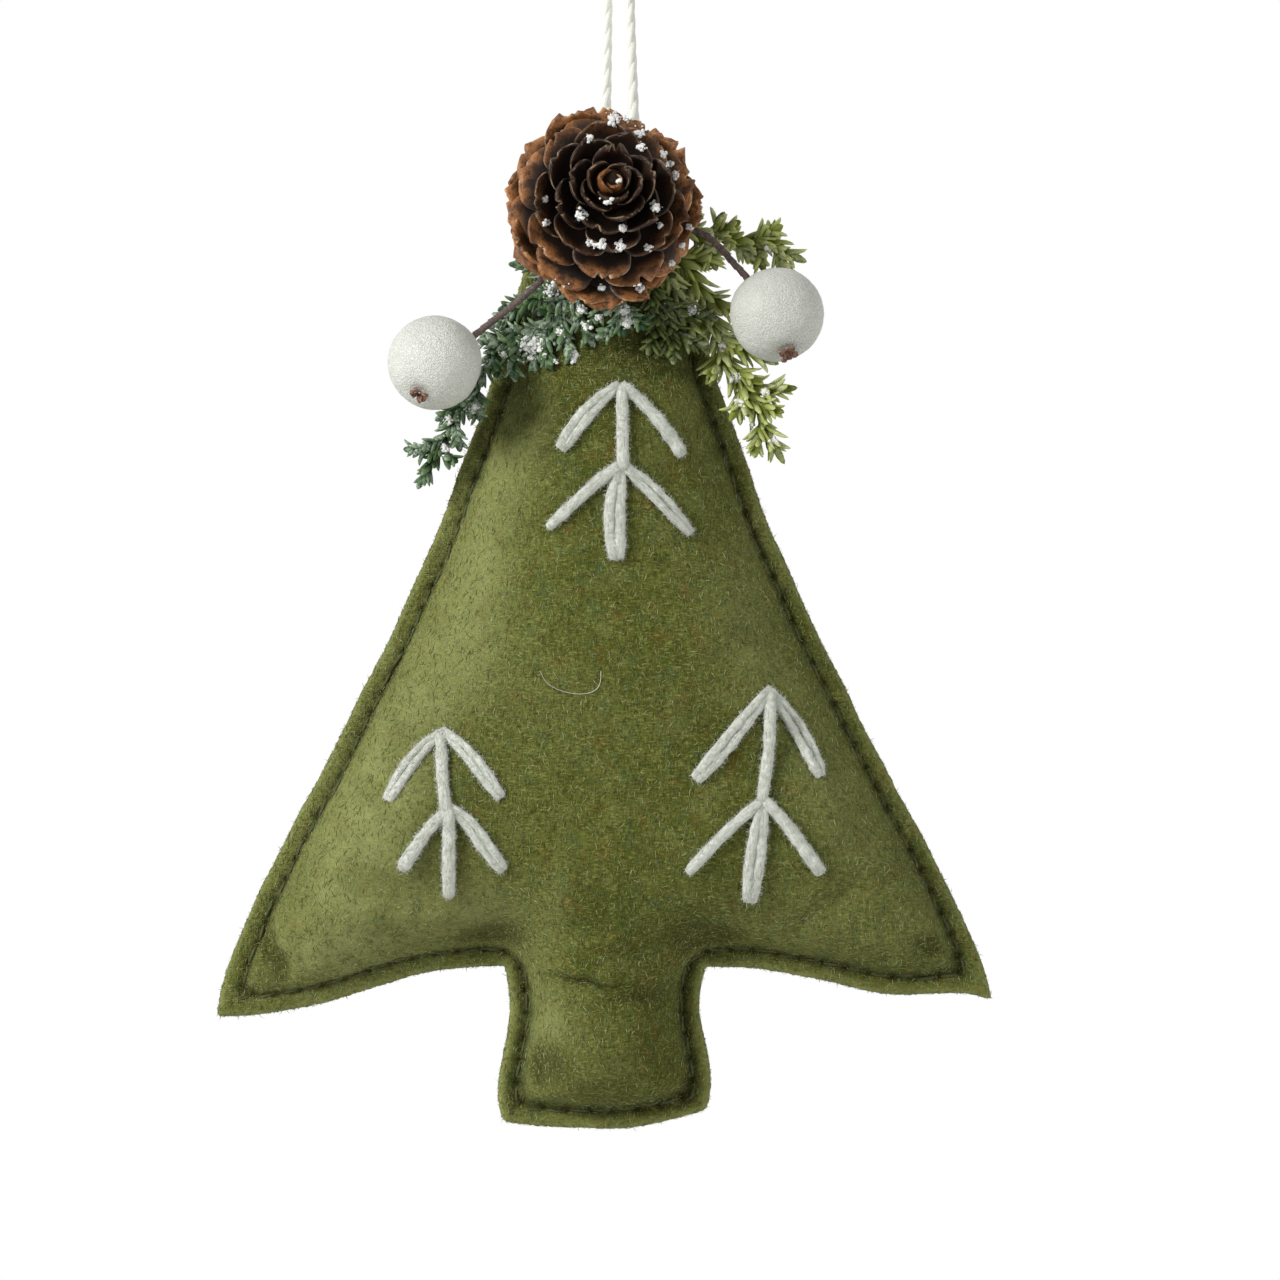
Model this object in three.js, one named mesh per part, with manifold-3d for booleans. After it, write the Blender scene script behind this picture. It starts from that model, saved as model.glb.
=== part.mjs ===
// A stuffed felt tree ornament with wool stitching, a pine cone, frosted berries and sprigs of green,
// hung by a loop of twine. Millimetres, +Z up, the front of the tree faces -Y, and the origin is the
// inside top of the twine loop, where the ornament hangs on its hook.
import * as THREE from "three";
import { mergeVertices } from "three/addons/utils/BufferGeometryUtils.js";
import Module from "manifold-3d";

const wasm = await Module();
wasm.setup();

// Felt tree
const treeHeight = 126.5;
const skirtWidth = 99.4;
const feltThickness = 2;
const trunkHeight = 20.8;
const trunkWidth = 27.4;
const footRise = 2.3; // how far the right end of the foot is cut up from the left
const leftTipDrop = 6.5; // how far each tip of the skirt hangs below the inner corners
const rightTipDrop = 4.5;
const seamAllowance = 2.4;
const shoulder = 2.5; // the band inside the seam where the stuffing starts
const crownDepth = 9.6; // how far the stuffing pushes each felt out
const crownReach = 15.5; // how far in from the seam the crown goes on rising
const stuffingStart = 1.5; // crown at which the stuffing begins
const seamPinch = 0.8; // how much the stitches squeeze each felt
const pinchWidth = 0.8;
const gap = 0.3; // left between pieces that touch
const outlineStep = 0.7;

// The hook's place: above the felt's top edge, and to the right of the trunk's middle
const hangLength = 36.5;
const hookSide = 1.4;
const hookHeight = treeHeight + hangLength;

// Sewing thread and wool
const threadDiameter = 0.6;
const threadInset = 2; // from the cut edge to the line of stitches
const woolDiameter = 1.7;
const doubleWoolDiameter = 2.5;
const stitchEndShare = 0.5; // thickness of a stitch where it dips into the felt
const topMotifHeight = 21.9;
const topMotifHalfWidth = 8.65;
const leftMotifHeight = 20.4;
const leftMotifHalfWidth = 7.1;
const rightMotifHeight = 26.7;
const rightMotifHalfWidth = 8.15;

// Cone, glue and picks, placed round a middle this far below the felt's top and left of its middle
const bouquetDrop = 10;
const bouquetSide = 0.5;
const glueRadius = 6; // at the felt; at the cone it is as wide as the core
const glueDepth = 1.8;
const coneRadius = 12.8;
const coneLength = 18;
const coreRadius = 5.2;
const budRadius = 1.1;
const scaleLength = 8.75;
const budScaleLength = 3.4;
const scaleWidth = 8;
const budScaleWidth = 4;
const scaleThickness = 0.7;
const scaleLip = 1; // thickness at the swollen tip of a scale
const scaleCup = 0.4; // how far a scale's sides turn up, besides its bend round the cone
const scaleCurl = 0.9; // how far its tip turns back
const coneTiltUp = 12.2; // degrees that the cone's bud points above level
const coneTiltSide = 6.5; // and to the right
const coneScales = 40;
const firstRootShare = 0.09; // of the way up the cone, where its first scale is rooted
const lastRootShare = 0.76;
const rootRadiusShare = 0.85; // roots start this share of the way out to the core's face
const widestShare = 0.62; // of the way along a scale, where it is widest
const rootTaperShare = 0.8; // of its length, over which it would narrow to nothing at the root
const tipTaperShare = 0.4;
const sideShortShare = 0.06; // how much shorter a scale is at its sides, which rounds its tip
const sideThinShare = 0.35; // and how much thinner

// Berries
const berryDiameter = 12;
const berryDimple = 0.5;
const dimpleWidth = 1.6;
const calyxDiameter = 1.8;
const calyxHeight = 0.7;
const calyxTopShare = 0.8; // width of its far end
const sepalRiseShare = 0.9; // how far a sepal rises for each step that it goes out
const sepalLength = 1.7;
const sepalWidth = 0.9;
const sepalThickness = 0.5;
const sepals = 5;
const berryStemDiameter = 1;
const berryStemLift = 1.6; // middle of the stem above the felt where it leaves the glue
const berryReach = 22; // from the bouquet's middle out to a berry's middle

// Sprigs
const twigDiameter = 0.8;
const twigTipDiameter = 0.5;
const twigRootLift = 0.8; // middle of a twig above the felt where it leaves the glue
const twigLift = 2.4; // and further out
const leftSprigReach = 43.6;
const centreLeftSprigReach = 19.6;
const centreSprigReach = 16;
const centreRightSprigReach = 19;
const rightLowerSprigReach = 39.5;
const rightUpperSprigReach = 26.4;
const needleLength = 5;
const needleWidth = 1.1;
const needleThickness = 0.5;
const lastNeedleShare = 0.95;
const shortNeedleShare = 0.85; // every other row of needles is shorter
// Ways that needles leave a twig: shares along it, to its side and to the front
const needleWayShares = [
  [0.8, -0.75, 0.3],
  [0.8, 0, 0.8],
  [0.8, 0.75, 0.3],
];

// Twine
const twineDiameter = 1.5;
// The loop's route from its left end in the felt's top edge, over the hook and back down
const twineRoute = [
  [-1.32, 0, -36.2],
  [-1.3, 0, -33],
  [-1.26, 0, -30],
  [-1.22, 0, -27],
  [-1.18, 0, -24],
  [-1.14, 0, -21],
  [-1.12, 0, -18],
  [-1.18, 0, -15.5],
  [-1.42, 0, -13],
  [-1.85, 0, -10.5],
  [-2.4, 0, -8],
  [-2.9, 0, -5.5],
  [-3.12, 0, -3.2],
  [-2.85, 0, -1.2],
  [-1.9, 0, 0.15],
  [0, 0, 0.75],
  [1.9, 0, 0.15],
  [2.85, 0, -1.2],
  [3.12, 0, -3.2],
  [2.9, 0, -5.5],
  [2.45, 0, -8],
  [2.05, 0, -10.5],
  [1.8, 0, -13],
  [1.7, 0, -15.5],
  [1.73, 0, -18],
  [1.8, 0, -21],
  [1.9, 0, -24],
  [2.02, 0, -27],
  [2.15, 0, -30],
  [2.28, 0, -33],
  [2.43, 0, -36.2],
];

// Outline tables. Sides of the tree above the hem: share of the half skirt, share of the height
const sideShares = [
  [0.971, 0.0075],
  [0.874, 0.105],
  [0.7645, 0.201],
  [0.659, 0.298],
  [0.556, 0.395],
  [0.458, 0.492],
  [0.367, 0.605],
  [0.3435, 0.637],
  [0.2716, 0.734],
  [0.2255, 0.806],
  [0.165, 0.93],
  [0.142, 0.982],
  [0.11, 1],
];
// Undersides of the skirt from the tip to the trunk: share of the way in, share of the drop
const leftHemShares = [
  [0, 1],
  [0.16, 0.97],
  [0.327, 0.815],
  [0.49, 0.52],
  [0.657, 0.26],
  [0.82, 0.03],
  [0.946, -0.05],
  [1, 0],
];
const rightHemShares = [
  [0, 1],
  [0.111, 0.755],
  [0.237, 0.833],
  [0.363, 0.833],
  [0.488, 0.633],
  [0.6125, 0.378],
  [0.737, 0.178],
  [0.905, 0.067],
  [1, 0],
];
// Sides of the trunk from its foot up: share of the half trunk, share of the trunk's height
const trunkShares = [
  [0.95, 0],
  [0.985, 0.12],
  [1, 0.27],
  [0.975, 0.39],
  [0.93, 0.5],
  [0.893, 0.63],
  [0.868, 0.76],
  [0.87, 0.89],
  [0.93, 1],
];
// The foot from left to right: share of the half trunk, share of the rise
const footShares = [
  [-0.95, 0.35],
  [-0.7, 0.1],
  [-0.15, 0],
  [0.35, 0],
  [0.6, 0.35],
  [0.95, 1],
];

// Smooth curve through a table, read as y at x
function readCurve(table) {
  const points = table.map(([x, y]) => new THREE.Vector2(x, y));
  const samples = new THREE.SplineCurve(points).getPoints(table.length * 12);
  return (x) => {
    const i = samples.findIndex((p) => p.x >= x);
    if (i === -1) return samples[samples.length - 1].y;
    if (i === 0) return samples[0].y;
    const [a, b] = [samples[i - 1], samples[i]];
    return a.y + ((b.y - a.y) * (x - a.x)) / Math.max(b.x - a.x, Number.EPSILON);
  };
}
const swap = (table) => table.map(([x, y]) => [y, x]);
const mix = THREE.MathUtils.lerp;

const sideCurve = readCurve(swap(sideShares));
const leftHemCurve = readCurve(leftHemShares);
const rightHemCurve = readCurve(rightHemShares);
const trunkCurve = readCurve(swap(trunkShares));
const footCurve = readCurve(footShares);

const halfSkirt = skirtWidth / 2;
const halfTrunk = trunkWidth / 2;
const trunkTopShare = trunkShares[trunkShares.length - 1][0];
const trunkCorner = halfTrunk * trunkTopShare;
const tipHeights = { left: trunkHeight - leftTipDrop, right: trunkHeight - rightTipDrop };

// Half width of the tree at a height, on the side that ends in the given tip
function halfWidthAt(z, tip) {
  const firstHeight = mix(trunkHeight, treeHeight, sideShares[0][1]);
  if (z >= firstHeight) {
    return halfSkirt * sideCurve((z - trunkHeight) / (treeHeight - trunkHeight));
  }
  return halfSkirt * mix(1, sideShares[0][0], (z - tip) / (firstHeight - tip));
}

function hemHeightAt(x) {
  const inward = (halfSkirt - Math.abs(x)) / (halfSkirt - trunkCorner);
  if (inward >= 1) return trunkHeight;
  const left = trunkHeight - leftTipDrop * leftHemCurve(inward);
  return x < 0 ? left : trunkHeight - rightTipDrop * rightHemCurve(inward);
}

const footHeightAt = (x) => footRise * footCurve(x / halfTrunk);

// Grid of the felt: columns across, rows up from the hem, and the trunk's rows below it
const skirtCells = 4;
const trunkCells = 4;
const bodyCells = 9;
const stubCells = 3;
const narrowShare = 0.2; // a margin is never more than this share of a narrow row

// Places across a strip from one edge to the other, with a margin and a shoulder at each end
function spaced(low, high, cells, marginLow, marginHigh) {
  const width = high - low;
  const margins = [seamAllowance, seamAllowance + shoulder].map((m) =>
    Math.min(m, (width * narrowShare * m) / seamAllowance / 2),
  );
  const start = marginLow ? [0, margins[0], margins[1]] : [0];
  const end = marginHigh ? [width - margins[1], width - margins[0], width] : [width];
  const from = start[start.length - 1];
  const inner = Array.from({ length: cells - 1 }, (_, i) => mix(from, end[0], (i + 1) / cells));
  return [...start, ...inner, ...end].map((w) => low + w);
}

function treeGrid() {
  const left = spaced(-halfSkirt, -trunkCorner, skirtCells, true, false);
  const middle = spaced(-trunkCorner, trunkCorner, trunkCells, true, true);
  const right = left.map((x) => -x).reverse();
  const bottom = [...left, ...middle.slice(1), ...right.slice(1)];
  const last = bottom.length - 1;
  const firstTrunk = left.length - 1;
  const lastTrunk = last - firstTrunk;
  const leftRows = spaced(tipHeights.left, treeHeight, bodyCells, true, true);
  const rightRows = spaced(tipHeights.right, treeHeight, bodyCells, true, true);
  const points = [];
  const places = new Map();
  const put = (i, j, x, z) => {
    places.set(`${i},${j}`, points.length);
    points.push([x, z]);
  };
  const inner = (bottom[last - 2] - bottom[2]) / (last - 4);
  leftRows.forEach((zLeft, j) => {
    const zRight = rightRows[j];
    const xLeft = -halfWidthAt(zLeft, tipHeights.left);
    const xRight = halfWidthAt(zRight, tipHeights.right);
    const row = spaced(xLeft, xRight, last - 4, true, true);
    const up = Math.max(0, (j - 2) / (leftRows.length - 3));
    const evenness = Math.sin((up * Math.PI) / 2);
    bottom.forEach((xBottom, i) => {
      const evenShare = (i - 2) / (last - 4);
      const lowShare = (xBottom - bottom[2]) / (inner * (last - 4));
      const share = mix(lowShare, evenShare, evenness);
      const edge = i < 3 || i > last - 3;
      const x = edge ? row[i] : mix(row[2], row[last - 2], share);
      const across = (x - xLeft) / (xRight - xLeft);
      const flat = mix(tipHeights.left, tipHeights.right, (xBottom + halfSkirt) / skirtWidth);
      const sag = (hemHeightAt(xBottom) - flat) * (1 - up) * (1 - up);
      put(i, j, j ? x : xBottom, mix(zLeft, zRight, across) + sag);
    });
  });
  const stub = spaced(0, trunkHeight, stubCells, true, false).reverse();
  stub.slice(1).forEach((z, k) => {
    const down = (trunkHeight - z) / trunkHeight;
    for (let i = firstTrunk; i <= lastTrunk; i++) {
      const x = bottom[i] * (trunkCurve(1 - down) / trunkTopShare);
      const top = points[places.get(`${i},0`)][1];
      put(i, -1 - k, x, mix(top, footHeightAt(x), down));
    }
  });
  const cells = [];
  for (let j = -stub.length + 1; j < leftRows.length - 1; j++) {
    for (let i = 0; i < last; i++) {
      const corners = [[i, j], [i + 1, j], [i + 1, j + 1], [i, j + 1]];
      const keys = corners.map((c) => places.get(c.join(",")));
      if (keys.includes(undefined)) continue;
      // the first corner sets a cell's diagonal, so the left half mirrors the right
      cells.push(i < last / 2 ? [...keys.slice(1), keys[0]] : keys);
    }
  }
  return { points, cells };
}

// Edges that only one cell uses, each in the direction that its cell runs
function rimOf(cells) {
  const edges = new Map();
  for (const cell of cells) {
    cell.forEach((a, k) => {
      const b = cell[(k + 1) % cell.length];
      if (!edges.delete(`${b},${a}`)) edges.set(`${a},${b}`, [a, b]);
    });
  }
  return [...edges.values()];
}

// The rim as one loop of points in order
function rimLoop(cells) {
  const next = new Map(rimOf(cells));
  const loop = [[...next.keys()][0]];
  while (loop.length < next.size) loop.push(next.get(loop[loop.length - 1]));
  return loop;
}

// Cells that keep away from the rim
function insideCells(cells) {
  const rim = new Set(rimOf(cells).flat());
  return cells.filter((cell) => !cell.some((k) => rim.has(k)));
}

const felt = treeGrid();
const outline = rimLoop(felt.cells).map((k) => felt.points[k]);
const seamRing = rimLoop(insideCells(felt.cells));

// Short steps of the outline, for measuring how deep inside it a place is
const outlineSteps = outline.flatMap(([x, z], k) => {
  const [x2, z2] = outline[(k + 1) % outline.length];
  const length = Math.hypot(x2 - x, z2 - z);
  const count = Math.ceil(length / outlineStep);
  return Array.from({ length: count }, (_, i) => ({
    x: mix(x, x2, (i + 0.5) / count),
    z: mix(z, z2, (i + 0.5) / count),
    length: length / count,
  }));
});

function isInside(x, z) {
  let inside = false;
  outline.forEach(([xa, za], k) => {
    const [xb, zb] = outline[(k + 1) % outline.length];
    if (za > z !== zb > z && x < ((xb - xa) * (z - za)) / (zb - za) + xa) inside = !inside;
  });
  return inside;
}

// Depth inside the outline: the distance to a near edge, falling off smoothly between two of them
function depthInside(x, z) {
  if (!isInside(x, z)) return 0;
  let pull = 0;
  for (const s of outlineSteps) pull += s.length / Math.hypot(x - s.x, z - s.z) ** 3;
  return Math.SQRT2 / Math.sqrt(pull);
}

// Moves a place straight in or out until it lies at a depth inside the outline
function settle([x, z], depth) {
  const probe = outlineStep / 2;
  const passes = 4;
  for (let pass = 0; pass < passes; pass++) {
    const here = depthInside(x, z);
    const dx = depthInside(x + probe, z) - here;
    const dz = depthInside(x, z + probe) - here;
    const slope = Math.hypot(dx, dz);
    x += (dx * (depth - here)) / slope;
    z += (dz * (depth - here)) / slope;
  }
  return [x, z];
}

// The ring of grid points beside the edge lies on the seam
for (const k of seamRing) felt.points[k] = settle(felt.points[k], seamAllowance);

const crownFullness = 0.65; // below 1, so that the crown rises steeply beside the seam
function crownAt(x, z) {
  const share = Math.min(1, Math.max(0, depthInside(x, z) - seamAllowance) / crownReach);
  return crownDepth * (1 - (1 - share) ** 2) ** crownFullness;
}

function pinchAt(x, z) {
  return seamPinch * Math.exp(-(((depthInside(x, z) - seamAllowance) / pinchWidth) ** 2));
}

// Outer face of the front felt, as y at a place on the tree
const frontAt = (x, z) => -(feltThickness + crownAt(x, z));

function closedMesh(points, faces) {
  const triangles = faces.flatMap((f) => f.slice(2).map((c, i) => [f[0], f[i + 1], c]));
  const geometry = new THREE.BufferGeometry();
  geometry.setAttribute("position", new THREE.Float32BufferAttribute(points.flat(), 3));
  geometry.setIndex(triangles.flat());
  geometry.computeVertexNormals();
  return geometry;
}

// The same cell seen from behind, which keeps its first corner and so its diagonal
const flipped = ([first, ...rest]) => [first, ...rest.reverse()];

// A closed sheet: the cells run anticlockwise as seen from the top points' side
function closedSheet(cells, top, bottom) {
  const n = top.length;
  const faces = [...cells];
  for (const cell of cells) faces.push(flipped(cell).map((k) => k + n));
  for (const [a, b] of rimOf(cells)) faces.push([b, a, a + n, b + n]);
  const used = new Set(faces.flat());
  const order = new Map([...used].map((k, i) => [k, i]));
  const all = [...top, ...bottom];
  return closedMesh([...used].map((k) => all[k]), faces.map((f) => f.map((k) => order.get(k))));
}

function feltPanel(front) {
  const side = front ? -1 : 1;
  const cells = front ? felt.cells : felt.cells.map(flipped);
  const outer = felt.points.map(([x, z]) => {
    const rise = feltThickness - pinchAt(x, z) + crownAt(x, z);
    return [x, side * rise, z];
  });
  const inner = felt.points.map(([x, z]) => [x, side * crownAt(x, z), z]);
  return closedSheet(cells, outer, inner);
}

function stuffingSolid() {
  const roomy = ([x, z]) => crownAt(x, z) > stuffingStart;
  const cells = felt.cells.filter((cell) => cell.every((k) => roomy(felt.points[k])));
  const front = felt.points.map(([x, z]) => [x, gap - crownAt(x, z), z]);
  const back = felt.points.map(([x, z]) => [x, crownAt(x, z) - gap, z]);
  return closedSheet(cells, front, back);
}

// A rod of round section along a curve, with a radius that may change on the way
function rod(curve, steps, sides, radiusAt) {
  const frames = curve.computeFrenetFrames(steps, false);
  const points = [];
  const faces = [];
  for (let i = 0; i <= steps; i++) {
    const centre = curve.getPointAt(i / steps);
    for (let k = 0; k < sides; k++) {
      const angle = (2 * Math.PI * k) / sides;
      const radius = radiusAt(i / steps);
      const p = centre.clone();
      p.addScaledVector(frames.normals[i], radius * Math.cos(angle));
      p.addScaledVector(frames.binormals[i], radius * Math.sin(angle));
      points.push(p.toArray());
      if (i === steps) continue;
      const [a, b] = [i * sides + k, i * sides + ((k + 1) % sides)];
      faces.push([a, b, b + sides, a + sides]);
    }
  }
  const ring = Array.from({ length: sides }, (_, k) => k);
  faces.push([...ring].reverse(), ring.map((k) => k + steps * sides));
  return closedMesh(points, faces);
}

function solidOf(geometry) {
  const bare = geometry.clone();
  bare.deleteAttribute("normal");
  bare.deleteAttribute("uv");
  const merged = mergeVertices(bare);
  return new wasm.Manifold(
    new wasm.Mesh({
      numProp: 3,
      vertProperties: merged.attributes.position.array,
      triVerts: new Uint32Array(merged.index.array),
    }),
  );
}

function joined(geometries) {
  let solid = solidOf(geometries[0]);
  for (const g of geometries.slice(1)) solid = solid.add(solidOf(g));
  // a pocket shut in among the pieces is left out, so the joined body is solid there
  const bodies = solid.decompose().sort((a, b) => b.volume() - a.volume());
  const mesh = bodies[0].getMesh();
  const points = [];
  for (let i = 0; i < mesh.numVert; i++) {
    points.push([...mesh.vertProperties.slice(i * mesh.numProp, i * mesh.numProp + 3)]);
  }
  const faces = [];
  for (let i = 0; i < mesh.numTri; i++) faces.push([...mesh.triVerts.slice(i * 3, i * 3 + 3)]);
  return closedMesh(points, faces);
}

// Materials
function finish(colour, roughness) {
  return new THREE.MeshStandardMaterial({ color: colour, roughness, metalness: 0 });
}
const feltFinish = finish(0x5f6430, 0.95);
const fillFinish = finish(0xf2f0ea, 1);
const threadFinish = finish(0x33391a, 0.8);
const woolFinish = finish(0xdfe0d6, 0.95);
const twineFinish = finish(0xe9e5d4, 0.9);
const glueFinish = finish(0xdcd9c6, 0.35);
const coneFinish = finish(0x5b3017, 0.7);
const berryFinish = finish(0xd8dad2, 0.5);
const calyxFinish = finish(0x6a3a28, 0.9);
const stemFinish = finish(0x4a3a36, 0.8);
const darkGreenFinish = finish(0x2f4a34, 0.6);
const limeGreenFinish = finish(0x75853a, 0.55);

function named(name, geometry, material) {
  const mesh = new THREE.Mesh(geometry, material);
  mesh.name = name;
  return mesh;
}

// Sewing thread round the tree, one on each face, sunk where the stitches pull the felt in
function seamThread(front) {
  const side = front ? -1 : 1;
  const radius = threadDiameter / 2;
  const route = seamRing.map((k) => {
    const [x, z] = settle(felt.points[k], threadInset);
    return new THREE.Vector3(x, side * (feltThickness - seamPinch / 2 + gap + radius), z);
  });
  const curve = new THREE.CatmullRomCurve3(route, true, "catmullrom", 0.3);
  const steps = route.length;
  const sides = 4;
  const frames = curve.computeFrenetFrames(steps, true);
  const points = [];
  const faces = [];
  for (let i = 0; i < steps; i++) {
    for (let k = 0; k < sides; k++) {
      const angle = (2 * Math.PI * k) / sides;
      const p = route[i].clone();
      const out = new THREE.Vector3().crossVectors(frames.tangents[i], new THREE.Vector3(0, 1, 0));
      p.addScaledVector(out.normalize(), radius * Math.cos(angle));
      p.y += radius * Math.sin(angle);
      points.push(p.toArray());
      const [a, b] = [i * sides + k, i * sides + ((k + 1) % sides)];
      const turn = (n) => (n + sides) % (steps * sides);
      faces.push([a, turn(a), turn(b), b]);
    }
  }
  return closedMesh(points, faces);
}

// Wool trees. The top's place is in shares of the half skirt and the tree's height, and each stitch
// runs from one place to another in shares of the motif's half width and of its height below the top
const stitchSets = {
  wool_tree_top: {
    topShares: [0.04, 0.753],
    halfWidth: topMotifHalfWidth,
    height: topMotifHeight,
    stitchShares: [
      [-0.06, 0.02, -0.85, 0.37],
      [0.04, 0.02, 0.9, 0.41],
      [0.02, 0.03, 0.055, 0.51],
      [-0.02, 0.49, -1, 0.82],
      [0.1, 0.49, 0.99, 0.87],
    ],
    doubleShares: [[0.02, 0.49, -0.1, 0.98]],
  },
  wool_tree_left: {
    topShares: [-0.4165, 0.402],
    halfWidth: leftMotifHalfWidth,
    height: leftMotifHeight,
    stitchShares: [
      [-0.03, 0.03, -0.97, 0.41],
      [0.03, 0.03, 1, 0.4],
      [-0.02, 0.04, 0.05, 0.54],
      [0, 0.52, -0.71, 0.835],
      [0.1, 0.52, 1.03, 0.85],
      [0.07, 0.52, 0.11, 1],
    ],
    doubleShares: [],
  },
  wool_tree_right: {
    topShares: [0.4205, 0.444],
    halfWidth: rightMotifHalfWidth,
    height: rightMotifHeight,
    stitchShares: [
      [-0.05, 0.03, -1.21, 0.4],
      [0.07, 0.02, 0.79, 0.4],
      [0.02, 0.03, -0.1, 0.56],
      [-0.12, 0.55, -1.21, 0.853],
      [-0.05, 0.55, 0.78, 0.853],
    ],
    doubleShares: [[-0.1, 0.56, -0.31, 1]],
  },
};

function stitch(set, [x1, z1, x2, z2], diameter) {
  const radius = diameter / 2;
  const steps = 5;
  const [side, top] = [halfSkirt * set.topShares[0], treeHeight * set.topShares[1]];
  const route = Array.from({ length: steps + 1 }, (_, i) => {
    const x = side + set.halfWidth * mix(x1, x2, i / steps);
    const z = top - set.height * mix(z1, z2, i / steps);
    return new THREE.Vector3(x, frontAt(x, z) - gap - radius, z);
  });
  const roundness = (t) => radius * mix(1, stitchEndShare, (2 * t - 1) ** 6);
  return rod(new THREE.CatmullRomCurve3(route), steps, 6, roundness);
}

function woolTree(set) {
  return joined([
    ...set.stitchShares.map((s) => stitch(set, s, woolDiameter)),
    ...set.doubleShares.map((s) => stitch(set, s, doubleWoolDiameter)),
  ]);
}

// The bouquet: everything round the pine cone is measured from the middle of the glue
const middleHeight = treeHeight - bouquetDrop;
const quarterTurn = Math.PI / 2;
const tiltUp = THREE.MathUtils.degToRad(coneTiltUp);
const tiltSide = THREE.MathUtils.degToRad(coneTiltSide);
const coneTurn = new THREE.Euler(quarterTurn - tiltUp, 0, tiltSide, "ZYX");
const coneAxis = new THREE.Vector3(0, 0, 1).applyEuler(coneTurn);
const coneSeat = frontAt(-bouquetSide, middleHeight) - gap - glueDepth - gap;

// Outer face of the front felt behind a place of the bouquet
const bouquetFront = (x, z) => frontAt(x - bouquetSide, z + middleHeight);

// Hot glue between the felt and the cone: its back follows the felt, its front the cone's flat base
function glueSolid() {
  const rings = 3;
  const spokes = 16;
  const places = [[0, 0]];
  const cells = [];
  for (let r = 1; r <= rings; r++) {
    for (let k = 0; k < spokes; k++) {
      const angle = (2 * Math.PI * k) / spokes;
      const radius = (glueRadius * r) / rings;
      places.push([radius * Math.cos(angle), radius * Math.sin(angle)]);
      const a = 1 + (r - 1) * spokes + k;
      const b = 1 + (r - 1) * spokes + ((k + 1) % spokes);
      cells.push(r === 1 ? [0, a, b] : [a - spokes, a, b, b - spokes]);
    }
  }
  const narrowing = coreRadius / glueRadius;
  const front = places.map(([xFelt, zFelt]) => {
    const [x, z] = [xFelt * narrowing, zFelt * narrowing];
    const tilt = (coneAxis.x * x + coneAxis.z * z) / coneAxis.y;
    return [x, coneSeat + gap - tilt, z];
  });
  const back = places.map(([x, z]) => [x, bouquetFront(x, z) - gap, z]);
  return closedSheet(cells, front, back);
}

// One scale of the cone, t of the way from the base of the cone to its bud
function coneScale(t, angle) {
  const rootHeight = coneLength * mix(firstRootShare, lastRootShare, t);
  const rootRadius = rootRadiusShare * mix(coreRadius, budRadius, t ** 0.8);
  const reach = mix(scaleLength, budScaleLength, t ** 2);
  const width = mix(scaleWidth, budScaleWidth, t ** 1.4);
  const tipRadius = mix(budRadius, coneRadius, (1 - t ** 1.5) ** 0.9);
  const bend = width ** 2 / (8 * (tipRadius + budRadius));
  const lean = Math.asin(THREE.MathUtils.clamp((tipRadius - rootRadius) / reach, -1, 1));
  const radial = new THREE.Vector3(Math.cos(angle), Math.sin(angle), 0);
  const across = new THREE.Vector3(-Math.sin(angle), Math.cos(angle), 0);
  const along = radial.clone().multiplyScalar(Math.sin(lean));
  along.z += Math.cos(lean);
  const upper = new THREE.Vector3().crossVectors(along, across).negate();
  const root = radial.clone().multiplyScalar(rootRadius);
  root.z = rootHeight;
  const columnShares = [-1, -0.5, 0, 0.5, 1];
  const rowShares = [0, 0.5, 0.85, 1];
  const top = [];
  const bottom = [];
  const cells = [];
  rowShares.forEach((v, j) => {
    const taper = v < widestShare ? rootTaperShare : tipTaperShare;
    const half = (width / 2) * Math.sqrt(1 - ((v - widestShare) / taper) ** 2);
    columnShares.forEach((u, i) => {
      const p = root.clone().addScaledVector(along, reach * v * (1 - sideShortShare * u * u));
      p.addScaledVector(across, half * u);
      p.addScaledVector(upper, (scaleCup + bend) * u * u - scaleCurl * v ** 3 * (1 - t));
      const thick = mix(scaleThickness, scaleLip, v) * (1 - sideThinShare * u * u);
      top.push(p.clone().addScaledVector(upper, thick / 2).toArray());
      bottom.push(p.clone().addScaledVector(upper, -thick / 2).toArray());
      const n = columnShares.length;
      const a = j * n + i;
      if (j + 1 < rowShares.length && i + 1 < n) cells.push([a, a + 1, a + n + 1, a + n]);
    });
  });
  return closedSheet(cells, top, bottom);
}

// Pine cone: scales set round a core a golden angle apart, wide open at the base and shut at the bud
function pineConeSolid() {
  const goldenAngle = Math.PI * (3 - Math.sqrt(5));
  const coreShares = [
    [0, 0],
    [1, 0],
    [1, 0.2],
    [0.72, 0.5],
    [0.36, 0.82],
    [0, 0.92],
  ];
  const profile = coreShares.map(([r, h]) => new THREE.Vector2(coreRadius * r, coneLength * h));
  const core = new THREE.LatheGeometry(profile, 14).rotateX(Math.PI / 2);
  const scales = Array.from({ length: coneScales }, (_, k) =>
    coneScale(k / (coneScales - 1), k * goldenAngle),
  );
  return joined([core, ...scales]);
}

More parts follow.
